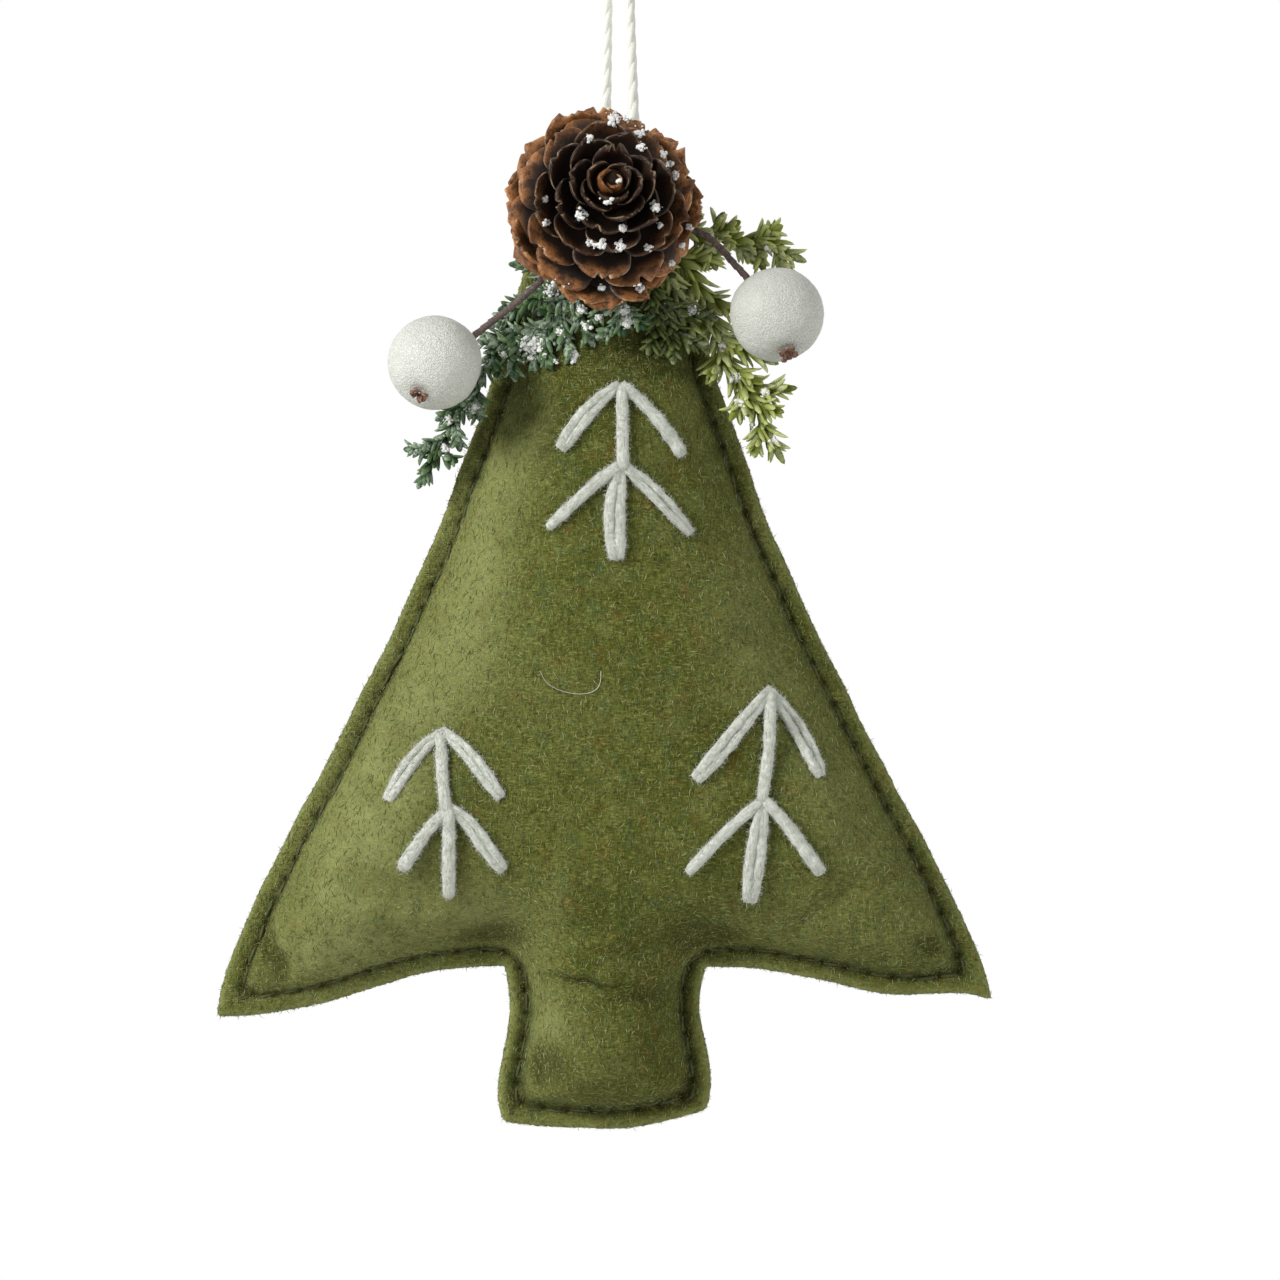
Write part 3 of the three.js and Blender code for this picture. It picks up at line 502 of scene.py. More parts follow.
cut_step = 0.3 * MM
corner_turn = math.radians(32)
rim = rim_of_felt()
before, after = rim - np.roll(rim, 1, axis=0), np.roll(rim, -1, axis=0) - rim
turns = np.abs(np.angle(np.exp(1j * (np.arctan2(after[:, 1], after[:, 0])
                                     - np.arctan2(before[:, 1], before[:, 0])))))
corners = np.flatnonzero(turns > corner_turn)
edge_line = []
for first, last in zip(corners, np.roll(corners, -1)):
    between = rim[[k % len(rim) for k in range(first, last + (last <= first) * len(rim) + 1)]]
    edge_line.append(smooth_route(between, cut_step)[0][:-1])
edge_line = np.vstack(edge_line)
to_corner = np.linalg.norm(edge_line[:, None] - rim[corners][None], axis=2).min(1)
ease = np.clip(to_corner / (4 * MM), 0.08, 1)[:, None]
for _ in range(70):
    evened = (np.roll(edge_line, 1, axis=0) + 2 * edge_line + np.roll(edge_line, -1, axis=0)) / 4
    edge_line = edge_line + (evened - edge_line) * ease
print(f"outline: {len(rim)} places, {len(corners)} corners, {len(edge_line)} steps")

scissors = np.random.default_rng(11)
edge_run = run_of(edge_line)
edge_length = edge_run[-1]
tangent = unit(np.roll(edge_line, -1, axis=0) - np.roll(edge_line, 1, axis=0))
edge_out = np.stack([tangent[:, 1], -tangent[:, 0]], axis=1)
wobble = sum(
    scissors.normal(0, 0.03) * np.sin(math.tau * (edge_run * waves / edge_length + scissors.random()))
    for waves in range(9, 42, 3)
)
edge_line = edge_line + edge_out * wobble[:, None] * MM

# %% [markdown]
# How far a place lies inside the edge decides everything about the sewn tree: the flat margin, the seam,
# and how high the stuffing lifts the felt. Near two edges at once, as in the trunk, the depth counts both,
# so the crown is lower there. These are the formulas of the CAD source, on finer steps.

# %% Depth inside the edge, and the crown over it
felt_thickness = 2 * MM
seam_depth = 2.4 * MM
crown_depth = 9.6 * MM
crown_reach = 15.5 * MM
crown_fullness = 0.65
rough_depth = 1 * MM  # nearer to the edge than this, its steps are too coarse for the sum over them
next_on_edge = np.roll(edge_line, -1, axis=0)
step_length = np.linalg.norm(next_on_edge - edge_line, axis=1)
step_middle = (edge_line + next_on_edge) / 2


def is_inside(places):
    inside = np.zeros(len(places), bool)
    x, z = places[:, 0], places[:, 1]
    for (xa, za), (xb, zb) in zip(edge_line, next_on_edge):
        if za != zb:
            crosses = ((za > z) != (zb > z)) & (x < (xb - xa) * (z - za) / (zb - za) + xa)
            inside ^= crosses
    return inside


def nearest_edge(places):
    """For each place, the nearest of the edge's steps and how far away it is."""
    which, far = [], []
    for some in np.array_split(places, max(1, len(places) // 2000)):
        away = np.linalg.norm(some[:, None] - edge_line[None], axis=2)
        which.append(away.argmin(1))
        far.append(away.min(1))
    return np.concatenate(which), np.concatenate(far)


def depth_inside(places):
    depth = []
    for some in np.array_split(places, max(1, len(places) // 2000)):
        away = np.linalg.norm(some[:, None] - step_middle[None], axis=2)
        depth.append(math.sqrt(2) / np.sqrt((step_length / np.maximum(away, 1e-5) ** 3).sum(1)))
    depth = np.concatenate(depth)
    near = nearest_edge(places)[1]
    trust = np.clip((near - rough_depth) / rough_depth, 0, 1)
    return near * (1 - trust) + depth * trust


def crown_at(depth):
    share = np.clip((depth - seam_depth) / crown_reach, 0, 1)
    return crown_depth * (1 - (1 - share) ** 2) ** crown_fullness


# %% [markdown]
# The pattern piece starts as a plain grid. What lies outside the outline is deleted, the rim is drawn
# onto the cut line, and the cells beside it are relaxed until they are even.

# %% Cut the felt from a grid
cell = 1.6 * MM
low, high = edge_line.min(0), edge_line.max(0)
columns, rows = (int(round(side / cell)) for side in (high - low))
let_go()
bpy.ops.mesh.primitive_grid_add(
    x_subdivisions=columns,
    y_subdivisions=rows,
    size=1,
    location=((low[0] + high[0]) / 2, 0, (low[1] + high[1]) / 2),
    rotation=(math.pi / 2, 0, 0),
)
blank = bpy.context.object
blank.name = "felt_blank"
blank.scale = (high[0] - low[0], high[1] - low[1], 1)
settle_place(blank)


def choose(piece, chosen):
    """Selects just these points of a piece, ready for edit mode."""
    piece.data.polygons.foreach_set("select", [False] * len(piece.data.polygons))
    piece.data.edges.foreach_set("select", [False] * len(piece.data.edges))
    piece.data.vertices.foreach_set("select", np.asarray(chosen, bool))


def delete_points(piece, chosen):
    choose(piece, chosen)
    take(piece)
    bpy.ops.object.mode_set(mode="EDIT")
    bpy.ops.mesh.select_mode(type="VERT")
    bpy.ops.mesh.delete(type="VERT")
    bpy.ops.object.mode_set(mode="OBJECT")


grid_places = points_of(blank.data)[:, [0, 2]]
away = nearest_edge(grid_places)[1] * np.where(is_inside(grid_places), 1, -1)
delete_points(blank, away < -0.35 * cell)
held = {v for face in blank.data.polygons for v in face.vertices}
delete_points(blank, [k not in held for k in range(len(blank.data.vertices))])

# %% [markdown]
# The grid's rim is a staircase now. Relaxing moves each inner point between its neighbours and each rim
# point onto the cut line, many times over, and one point is kept at every sharp corner.

# %% Relax the pattern piece
def rim_points(mesh):
    """The points on edges that only one face uses, and for each the two rim points beside it."""
    users = {}
    for face in mesh.polygons:
        for key in face.edge_keys:
            users[key] = users.get(key, 0) + 1
    beside = {}
    for (a, b), count in users.items():
        if count == 1:
            beside.setdefault(a, []).append(b)
            beside.setdefault(b, []).append(a)
    return beside


def relax(mesh, passes, pull):
    """Evens out a flat sheet: inner points go between their neighbours, rim points along the cut."""
    beside = rim_points(mesh)
    flat = points_of(mesh)[:, [0, 2]]
    pairs = np.array([e.vertices[:] for e in mesh.edges])
    on_rim = np.array(sorted(beside))
    ends = np.array([beside[k][:2] for k in on_rim])
    count = np.zeros(len(flat))
    np.add.at(count, pairs.ravel(), 1)
    inner = np.ones(len(flat), bool)
    inner[on_rim] = False
    tips = [on_rim[np.linalg.norm(flat[on_rim] - rim[c], axis=1).argmin()] for c in corners]
    for _ in range(passes):
        total = np.zeros_like(flat)
        np.add.at(total, pairs[:, 0], flat[pairs[:, 1]])
        np.add.at(total, pairs[:, 1], flat[pairs[:, 0]])
        moved = flat + (total / count[:, None] - flat) * pull
        flat[inner] = moved[inner]
        along = (flat[ends[:, 0]] + flat[ends[:, 1]]) / 2
        flat[on_rim] = edge_line[nearest_edge(flat[on_rim] * 0.4 + along * 0.6)[0]]
        for tip, corner in zip(tips, corners):
            flat[tip] = edge_line[nearest_edge(rim[corner][None])[0][0]]
    points = points_of(mesh)
    points[:, [0, 2]] = flat
    set_points(mesh, points)


relax(blank.data, passes=40, pull=0.5)
report(blank)

# %% [markdown]
# The bag is the pattern piece extruded into a slab, so its front, back and rim are one closed skin. Each
# point is lifted to the crown that the CAD felt has there.

# %% Bag of two felts
def copy_of(piece, name):
    made = piece.copy()
    made.data = piece.data.copy()
    made.name = name
    bpy.context.scene.collection.objects.link(made)
    made.vertex_groups.clear()
    return made


def extrude_to_slab(piece, way):
    """Draws a flat sheet out into a closed slab whose faces point outwards."""
    take(piece)
    bpy.ops.object.mode_set(mode="EDIT")
    bpy.ops.mesh.select_all(action="SELECT")
    bpy.ops.mesh.extrude_region_move(TRANSFORM_OT_translate={"value": way})
    bpy.ops.mesh.select_all(action="SELECT")
    bpy.ops.mesh.normals_make_consistent(inside=False)
    bpy.ops.object.mode_set(mode="OBJECT")


slab_depth = 1 * MM
bag = copy_of(blank, "felt_bag")
extrude_to_slab(bag, (0, slab_depth, 0))
bag_points = points_of(bag.data)
on_back = bag_points[:, 1] > slab_depth / 2
bag_depth = depth_inside(bag_points[:, [0, 2]])
bag_points[:, 1] = np.where(on_back, 1, -1) * (felt_thickness + crown_at(bag_depth))
set_points(bag.data, bag_points)
print(f"bag: {len(bag_points)} points, {on_back.sum()} of them on the back")

# %% [markdown]
# Stuffing presses the bag out from inside. Cloth with pressure does the same: the margin and the seam are
# pinned, and between them the felt swells, dents and settles. It runs at ten times life size, where the
# solver works well, and no point may move more than 1.6 mm from the shape that the CAD gives.

# %% Stuff the bag
swell_limit = 1.6 * MM
sim_scale = 10
last_moment = 20
cloth_settings = {
    "quality": 6, "mass": 0.02, "tension_stiffness": 20, "compression_stiffness": 20, "shear_stiffness": 8,
    "bending_stiffness": 1.5, "shrink_min": -0.03, "use_pressure": True, "uniform_pressure_force": 4,
    "vertex_group_mass": "sewn",
}
pinned = bag.vertex_groups.new(name="sewn")
for number, depth in enumerate(bag_depth):
    pinned.add([number], float(np.clip(1 - (depth - 2.6 * MM) / (1.6 * MM), 0, 1)), "REPLACE")
set_points(bag.data, bag_points * sim_scale)
take(bag)
bpy.ops.object.modifier_add(type="CLOTH")
cloth = bag.modifiers[-1]
for name, value in cloth_settings.items():
    setattr(cloth.settings, name, value)
cloth.settings.effector_weights.gravity = 0
cloth.collision_settings.use_collision = False
for moment in range(1, last_moment + 1):
    bpy.context.scene.frame_set(moment)
bpy.ops.object.modifier_apply(modifier=cloth.name)
bpy.context.scene.frame_set(1)
swelled = points_of(bag.data) / sim_scale - bag_points
far = np.linalg.norm(swelled, axis=1)
print(f"stuffing moved the felt {far.mean() / MM:.2f} mm on average and {far.max() / MM:.2f} mm at most")
kept = swell_limit * np.tanh(far / swell_limit) / np.maximum(far, 1e-9)
set_points(bag.data, bag_points + swelled * kept[:, None])

# %% [markdown]
# Running stitches join the felts a little over two millimetres inside the edge. Their line is the cut
# edge moved inwards, without the places that come too near to another stretch of the edge.

# %% Line of stitches
stitch_inset = 2.3 * MM
stitch_pitch = 3.0 * MM
inset_line = edge_line - edge_out * stitch_inset
inset_line = inset_line[nearest_edge(inset_line)[1] > 0.93 * stitch_inset]
for _ in range(12):
    inset_line = (np.roll(inset_line, 1, axis=0) + inset_line + np.roll(inset_line, -1, axis=0)) / 3
seam_line = smooth_route(np.vstack([inset_line[::3], inset_line[:1]]), 0.1 * MM)[0]
stitch_count = round(run_of(seam_line)[-1] / stitch_pitch)
stitch_pitch = run_of(seam_line)[-1] / stitch_count
print(f"seam: {run_of(seam_line)[-1] / MM:.0f} mm with {stitch_count} stitches of {stitch_pitch / MM:.2f} mm")


def beside_seam(places):
    """For each place, how far along the seam it is."""
    along = []
    run = run_of(seam_line)
    for some in np.array_split(places, max(1, len(places) // 1500)):
        along.append(run[np.linalg.norm(some[:, None] - seam_line[None, ::2], axis=2).argmin(1) * 2])
    return np.concatenate(along)


def soft_noise(points, size, seed):
    """Smooth noise about -1 to 1 at points in metres, with blobs of about that many millimetres."""
    offset = Vector((seed * 7.3, seed * 3.1, seed * 5.7))
    return np.array([noise.noise(Vector(p) / (size * MM) + offset) for p in points])


def bell(value, middle, width):
    return np.exp(-(((value - middle) / width) ** 2))


# %% [markdown]
# Subdividing a panel leaves its rim points unevenly spaced, and a rim like that shades in blocks. So they
# are spread evenly along the cut line, with one held at every corner.

# %% Even rim
def even_rim(mesh, flat):
    """Spreads the rim's points evenly along the cut line, with one at every corner. Returns the rim."""
    beside = rim_points(mesh)
    loop, last = [min(beside)], None
    while len(loop) < len(beside):
        ahead = [k for k in beside[loop[-1]] if k != last][0]
        last = loop[-1]
        loop.append(ahead)
    loop = np.array(loop)
    steps = len(edge_line)
    place = nearest_edge(flat[loop])[0].astype(float)
    jumps = (np.roll(place, -1) - place + steps / 2) % steps - steps / 2
    place = place[0] + np.concatenate([[0], np.cumsum(jumps)[:-1]])
    tips = [np.linalg.norm(flat[loop] - rim[corner], axis=1).argmin() for corner in corners]
    at_corner = nearest_edge(rim[corners])[0]
    at_corner = at_corner + steps * np.round((place[tips] - at_corner) / steps)
    for _ in range(40):
        before, after = np.roll(place, 1), np.roll(place, -1)
        before[0] -= jumps.sum()
        after[-1] += jumps.sum()
        place = (before + 2 * place + after) / 4
        place[tips] = at_corner
    for k in range(2):
        closed = np.append(edge_line[:, k], edge_line[0, k])
        flat[loop, k] = np.interp(place % steps, np.arange(steps + 1), closed)
    return np.sort(loop)


# %% [markdown]
# The front has marks of its own: a folded facet at its lower left corner, a short crease across the trunk,
# and shallow dents where the filling is uneven. Each is a bell or a soft step that lifts or sinks the felt,
# with painted shade in it. A band under the greens gets painted shade too, and two patches of the trunk
# painted light.

# %% Marks of the front
felt_dents = [  # across, up, half width and half height in mm, and how far the felt rises or sinks
    (3.4, -146, 4.4, 1.1, -0.8), (-7.5, -149, 3.6, 3.4, 0.5), (-10.8, -155, 5.4, 3.3, -1.15),
    (-14.5, -138, 4.2, 2.6, -0.75), (-6, -133, 3.2, 4.5, 0.9), (10.5, -138.8, 4.2, 2.6, -0.95),
    (-29, -130, 6, 5, 0.5), (2, -152, 4, 3, 0.35), (41, -139.5, 3.4, 1.8, -1.1), (-19, -140, 3.2, 2, -0.9),
    (14, -140, 3.2, 2, -0.9), (-13, -68, 3, 5, -0.5), (-30, -112, 7, 5, 0.5),
]
facet_drop, crease_drop = 2.4, 1.15


def front_marks(x, z, depth, inside):
    """How far the marks lift the front in mm, how much they shade it, and where light catches it."""
    fold = x - np.interp(z, (-145.5, -131), (-40.2, -46.4)) - 0.35 * np.sin(z * 1.1)
    facet = bell(fold, -0.8, 4.6) * bell(z, -138, 6) / (1 + np.exp(np.clip(fold / 0.28, -20, 20)))
    facet = facet * np.clip(depth / 1.2 - 1.9, 0, 1)
    crease_height = np.interp(x, (-9, -6.5, -3, 1), (-143.1, -143.3, -144.3, -144.7)) + 0.22 * np.sin(x * 1.4)
    crease = bell(z, crease_height, 0.55) * bell(x, -4.6, 6.2)
    lift = -facet_drop * facet - crease_drop * crease * inside
    dented = 0
    for across, up, half_width, half_height, rise in felt_dents:
        mark = bell(x, across, half_width) * bell(z, up, half_height) * np.clip(depth / 1.5 - 1.8, 0, 1)
        lift = lift + rise * mark
        dented = dented + mark * np.clip(-rise, 0, 1)
    # Painted shade on the felt under the greens.
    under_greens = 0.75 * bell(x, 1, 13) * bell(z, -64, 4.5)
    shade = 0.9 * crease + 1.1 * dented + 1.2 * facet + under_greens
    # Painted light on two patches of the trunk.
    lit = 0.42 * bell(x, -7.5, 3.5) * bell(z, -149.5, 4) + 0.4 * bell(x, -7.2, 2) * bell(z, -134, 5)
    return lift, shade, lit


# %% [markdown]
# Each panel is one side of the bag. Subdivision gives it points close enough for a seam: a sunk line of
# stitches, puckers beside it, a wavy margin and a soft cut edge. Solidify then gives the felt its two
# millimetres, and less under the stitches, and the inner rim is put straight behind the outer one, so
# that the cut edge is square as shears leave it.

# %% Felt panels
rolled_off = 0.5 * MM
edge_gap = 0.01 * MM


def shape_panel(panel, side):
    """Draws seam, puckers and dents into a panel whose outer face looks towards side, -1 or 1 in y."""
    points = points_of(panel.data)
    flat = points[:, [0, 2]]
    on_rim = even_rim(panel.data, flat)
    x, z, depth = flat[:, 0] / MM, flat[:, 1] / MM, depth_inside(flat) / MM
    depth[on_rim] = 0
    height = np.abs(points[:, 1]) / MM
    turn = math.tau * beside_seam(flat) / stitch_pitch
    small, wide, broad = (soft_noise(points, size, seed + side) for size, seed in ((5, 1), (14, 4), (26, 8)))
    trunk = np.clip((-137 - z) / 5, 0, 1) * np.clip((19 - np.abs(x + 1.4)) / 5, 0, 1)
    shadowed = np.maximum(trunk, 0.6 * np.clip((x - 8) / 8, 0, 1))
    # The seam band also carries painted shade, wider on the trunk and the right side, where shade falls.
    seam = bell(depth, stitch_inset / MM + 0.14 * small, 0.52 + 0.34 * shadowed + 0.16 * small)
    hole = np.cos(turn / 2) ** 8
    dips = seam * (0.85 + 0.35 * hole + 0.5 * shadowed + 0.3 * small)
    puckers = bell(depth, 3.6, 1.1) * 0.16 * np.cos(turn) * (0.6 + small)
    long_puckers = bell(depth, 5.0, 2.3) * 0.5 * soft_noise(points * (1, 0.2, 1), 6.5, 12)
    inside = np.clip((depth - 3) / 5, 0, 1)
    height += (0.18 * small + 0.8 * wide + 0.9 * broad) * inside
    height += puckers + long_puckers - dips - rolled_off / MM * bell(depth, 0, 0.45)
    lift, shade, lit = front_marks(x, z, depth, inside) if side < 0 else (0, 0 * x, 0)
    height += lift
    to_left, to_right = np.clip((-x - 6) / 10, 0, 1), np.clip((x - 8) / 10, 0, 1)
    # Painted light: bands along the bulges, strong on the left and weak on the right, and the lit patches of
    # the trunk; the slow noise adds lighter brushed patches.
    brushed_and_lit = bell(depth, 7.5, 5.5) * (0.95 * to_left + 0.35 * to_right) + 0.3 * wide + lit
    margin = np.clip(1 - depth / 2.2, 0, 1)
    wave = 0.55 * soft_noise(np.column_stack([flat, 0 * x]), 11, 20) * margin
    points[:, [0, 2]] = flat
    points[:, 1] = (side * np.maximum(height, 0.6) + wave) * MM
    set_points(panel.data, points)
    # The seam value is painted shade in the seam's groove, and shade is the painted shade of the front's
    # marks.
    for name, values in (
        ("cut", bell(depth, 0, 0.55)), ("seam", seam * (0.75 + 0.25 * hole)), ("brushed_and_lit", brushed_and_lit),
        ("margin", margin * (0.1 + 0.9 * np.clip((-139 - z) / 4, 0, 1))), ("shade", shade),
    ):
        store(panel, name, np.clip(values, 0, 1))
    thin = panel.vertex_groups.new(name="thin")
    for number, share in enumerate(1 - 0.42 * seam):
        thin.add([number], float(share), "REPLACE")
    return on_rim


def apply_modifier(piece, kind, **settings):
    take(piece)
    modifier = piece.modifiers.new(kind.lower(), kind)
    for name, value in settings.items():
        setattr(modifier, name, value)
    bpy.ops.object.modifier_apply(modifier=modifier.name)


def felt_panel(name, side):
    panel = copy_of(bag, name)
    delete_points(panel, on_back if side < 0 else ~on_back)
    apply_modifier(panel, "SUBSURF", levels=2, render_levels=2)
    on_rim = shape_panel(panel, side)
    inner_rim = on_rim + len(panel.data.vertices)
    apply_modifier(panel, "SOLIDIFY", thickness=felt_thickness - 0.08 * MM, offset=-1, vertex_group="thin")
    points = points_of(panel.data)
    points[inner_rim] = points[on_rim] - np.array((0, side * (felt_thickness - rolled_off - edge_gap), 0))
    set_points(panel.data, points)
    panel.vertex_groups.clear()
    take(panel)
    bpy.ops.object.shade_smooth_by_angle(angle=math.radians(68))
    return panel


front_felt = felt_panel("felt_front_panel", -1)
back_felt = felt_panel("felt_back_panel", 1)

# %% [markdown]
# Loose polyester fills the tree and never shows. It is the inside of the bag: the same skin, drawn in by
# the felt's thickness and closed at its own rim, with the lumps that teased fibre has.

# %% Filling
filling = copy_of(bag, "fibre_filling")
delete_points(filling, bag_depth < 3.1 * MM)
filling_points = points_of(filling.data)
filling_side = np.sign(filling_points[:, 1])
filling_lumps = soft_noise(filling_points, 7, 31)
filling_points[:, 1] -= filling_side * (felt_thickness + (0.7 + 0.5 * filling_lumps) * MM)
set_points(filling.data, filling_points)
take(filling)
bpy.ops.object.mode_set(mode="EDIT")
bpy.ops.mesh.select_mode(type="EDGE")
bpy.ops.mesh.select_all(action="DESELECT")
bpy.ops.mesh.select_non_manifold()
bpy.ops.mesh.bridge_edge_loops()
bpy.ops.mesh.select_all(action="SELECT")
bpy.ops.mesh.normals_make_consistent(inside=False)
bpy.ops.object.mode_set(mode="OBJECT")
filling.data.shade_smooth()

for pattern in (bag, blank):
    bpy.data.objects.remove(pattern)

# %% [markdown]
# Felt is matted wool. Seen close it has no weave: short fibres lie every way, in olive with some darker,
# browner and bluer ones, and some patches are lighter where it is brushed. Over that lies painted light:
# bands along the bulges are lighter, most on the left where the lamp falls. The cut edge is paler, and the
# seam has painted shade in its groove. So the colour is laid on in layers, from patches of fifteen
# millimetres down to the finest grain, and the fibres and the grain also lift the surface a little.

# %% Felt finish
def felt_finish(name, turn):
    finish = Finish(name, 0.95, Specular_IOR_Level=0.04, Sheen_Weight=0.14, Sheen_Roughness=0.6,
                    Sheen_Tint=(0.7, 0.75, 0.35, 1))
    drift = finish.noise(15, 2, 0.5)
    patches = finish.noise(4.5, 3, 0.6)
    mottle = finish.noise(1, 3, 0.7, at=finish.stretched((0.6, 0.9, 1.3), (0, turn, 0)), distortion=0.4)
    brown = finish.noise(2.6, 4, 0.65, distortion=0.5)
    upright = finish.noise(1, 3, 0.75, at=finish.stretched((0.17, 0.4, 0.8), (0, turn, 0)))
    lying = finish.noise(1, 2, 0.75, at=finish.stretched((0.8, 0.4, 0.2), (0, turn + 0.6, 0)))
    fibres = finish.pick("MAXIMUM", upright, lying)
    hollows = finish.pick("MINIMUM", upright, lying)
    grain = finish.noise(0.22, 2, 0.85)
    cut, seam, margin, brushed_and_lit, shade = map(finish.attribute, ("cut", "seam", "margin", "brushed_and_lit", "shade"))
    brushing_and_light = finish.times(brushed_and_lit, finish.between(patches, 0.68, 0.36, 0.5, 1))
    calm = finish.between(brushed_and_lit, 0.1, 0.9, 0.9, 0.3)
    pits = finish.times(finish.between(hollows, 0.47, 0.32, 0, 0.85), calm)
    colour = finish.mix(finish.between(drift, 0.36, 0.64), (0.078, 0.088, 0.0125), (0.114, 0.127, 0.024))
    for layer in (
        (patches, 0.46, 0.68, 0.7, (0.155, 0.17, 0.044)),
        (mottle, 0.48, 0.68, 0.6, (0.042, 0.05, 0.007)),
        (brown, 0.53, 0.70, 0.55, (0.135, 0.078, 0.016)),
        (brown, 0.46, 0.30, 0.5, (0.05, 0.10, 0.04)),
    ):
        colour = finish.tinted(colour, *layer)
    # Painted light, partly brushed felt: the lighter colour where the bands along the bulges and the lit
    # patches are.
    colour = finish.mix(brushing_and_light, colour, (0.272, 0.288, 0.105))
    colour = finish.tinted(colour, shade, 0.1, 0.9, 0.85, (0.036, 0.038, 0.006))
    colour = finish.mix(pits, colour, (0.022, 0.027, 0.003))
    # The last layer is painted shade in the seam's groove.
    for layer in (
        (fibres, 0.55, 0.68, 0.62, (0.30, 0.325, 0.10)),
        (grain, 0.5, 0.25, 0.42, (0.03, 0.036, 0.005)),
        (margin, 0.1, 0.9, 0.45, (0.21, 0.225, 0.065)),
        (cut, 0.05, 0.9, 0.5, (0.29, 0.31, 0.11)),
        (seam, 0.25, 1, 0.88, (0.010, 0.012, 0.0015)),
    ):
        colour = finish.tinted(colour, *layer)
    return finish.done(colour, finish.bump(grain, 0.2, 0.8, over=finish.bump(fibres, 0.34, 0.85)))


polyester = Finish("filling_polyester", 1)
tease = polyester.noise(1, 3, 0.6, at=polyester.stretched((0.4, 3, 1.2)))
polyester_colour = polyester.mix(tease, (0.72, 0.71, 0.68), (0.9, 0.89, 0.86))
polyester.done(polyester_colour, polyester.bump(tease, 0.5))

hand_over(front_felt, felt_finish("felt_front_olive", 0.0), "felt", "felt_front")
hand_over(back_felt, felt_finish("felt_back_olive", 0.5), "felt", "felt_back")
hand_over(filling, polyester.material, "stuffing", "stuffing")

# %% [markdown]
# Every stitch of the seam is a short thread that dives into the felt at both ends. Thread of this kind is
# a twisted pair, too fine to see as such, so a plain tube with a wound pattern is enough. The surface is
# found by shooting a ray at the felt from outside.

# %% Stitches of the seam
def surface_tree(*pieces):
    """A search tree over the finished faces of some pieces."""
    graph = bpy.context.evaluated_depsgraph_get()
    points, faces = [], []
    for piece in pieces:
        mesh = piece.evaluated_get(graph).data
        faces += [tuple(v + len(points) for v in face.vertices) for face in mesh.polygons]
        points += [v.co.copy() for v in mesh.vertices]
    return BVHTree.FromPolygons(points, faces)


front_face = surface_tree(front_felt)
back_face = surface_tree(back_felt)


def seam_stitches(name, face, side, seed):
    rng = np.random.default_rng(seed)
    run = run_of(seam_line)
    rings = 7
    parts = []
    for number in range(stitch_count):
        start = (number + 0.07) * stitch_pitch
        ends = np.linspace(start, start + 0.86 * stitch_pitch, rings)
        flat = np.stack([np.interp(ends, run, seam_line[:, k]) for k in range(2)], axis=1)
        flat += rng.normal(0, 0.14 * MM, 2) + np.linspace(-1, 1, rings)[:, None] * rng.normal(0, 0.1 * MM, 2)
        line = []
        for share, (x, z) in zip(np.linspace(0, 1, rings), flat):
            hit = face.ray_cast(Vector((x, side * 0.05, z)), Vector((0, -side, 0)))[0]
            lift = (0.34 * math.sin(math.pi * share) - 0.22) * MM
            line.append((x, (hit.y if hit else side * felt_thickness) + side * lift, z))
        radius = rng.uniform(0.17, 0.25) * MM * np.sin(math.pi * np.linspace(0.15, 0.85, rings)) ** 0.5
        parts.append(tube(np.array(line), radius, 6))
    return piece_from_parts(name, parts)


front_seam = seam_stitches("seam_stitches_front", front_face, -1, 3)
back_seam = seam_stitches("seam_stitches_back", back_face, 1, 4)
thread = Finish("thread_dark_olive", 0.8)
wound = thread.noise(1, 2, 0.6, at=thread.along_strand((0.5, 0.12, 0.12)))
thread_colour = thread.mix(thread.between(wound, 0.3, 0.7), (0.028, 0.032, 0.006), (0.085, 0.095, 0.025))
thread.done(thread_colour, thread.bump(wound, 0.08))
hand_over(front_seam, thread.material, "sewing_thread", "seam_thread_front")
hand_over(back_seam, thread.material, "sewing_thread", "seam_thread_back")

# %% [markdown]
# The three small trees are straight stitches of soft wool. Some lie as a pair of strands that meet at both
# ends, and some are single. Their places are named by the photograph's own pixels, and a ray from the
# camera through each pixel finds the felt, so that every strand follows the crown.

# %% Wool stitches
photo_middle = 640
PIXEL = MM / 7.8


def through_pixel(x, y, target):
    """Where the camera sees a surface at this pixel of the 1280 x 1280 photograph, or None."""
    reach = camera_film / camera_lens / 2
    way = Vector(((x - photo_middle) / photo_middle * reach, 1, (photo_middle - y) / photo_middle * reach))
    way.normalize()
    return target.ray_cast(camera.location, way)[:2]


def mix(first, second, share):
    return first + (second - first) * share


def strand_line(route):
    """A smooth line through pixels, a little straighter than they are, and the share of the way along it."""
    line = smooth_route(np.array(route, float), 2.5)[0]
    share = np.linspace(0, 1, len(line))
    return mix(line, line[0] + (line[-1] - line[0]) * share[:, None], 0.35), share


def single(route, start_width, end_width):
    """One strand along a route of pixels."""
    line, share = strand_line(route)
    return [(line, np.interp(share, (0, 1), (start_width, end_width)) * 0.44)]


def pair(route, start_width, end_width):
    """Two strands side by side along a route of pixels: they meet at both ends."""
    line, share = strand_line(route)
    ahead = unit(np.gradient(line, axis=0))
    aside = np.stack([-ahead[:, 1], ahead[:, 0]], axis=1)
    width = np.interp(share, (0, 1), (start_width, end_width))
    spread = (width / 4) * np.sin(math.pi * np.clip(share, 0.06, 0.94)) ** 0.5
    return [(line + aside * (spread * way)[:, None], width / 4 * 1.06) for way in (-1, 1)]


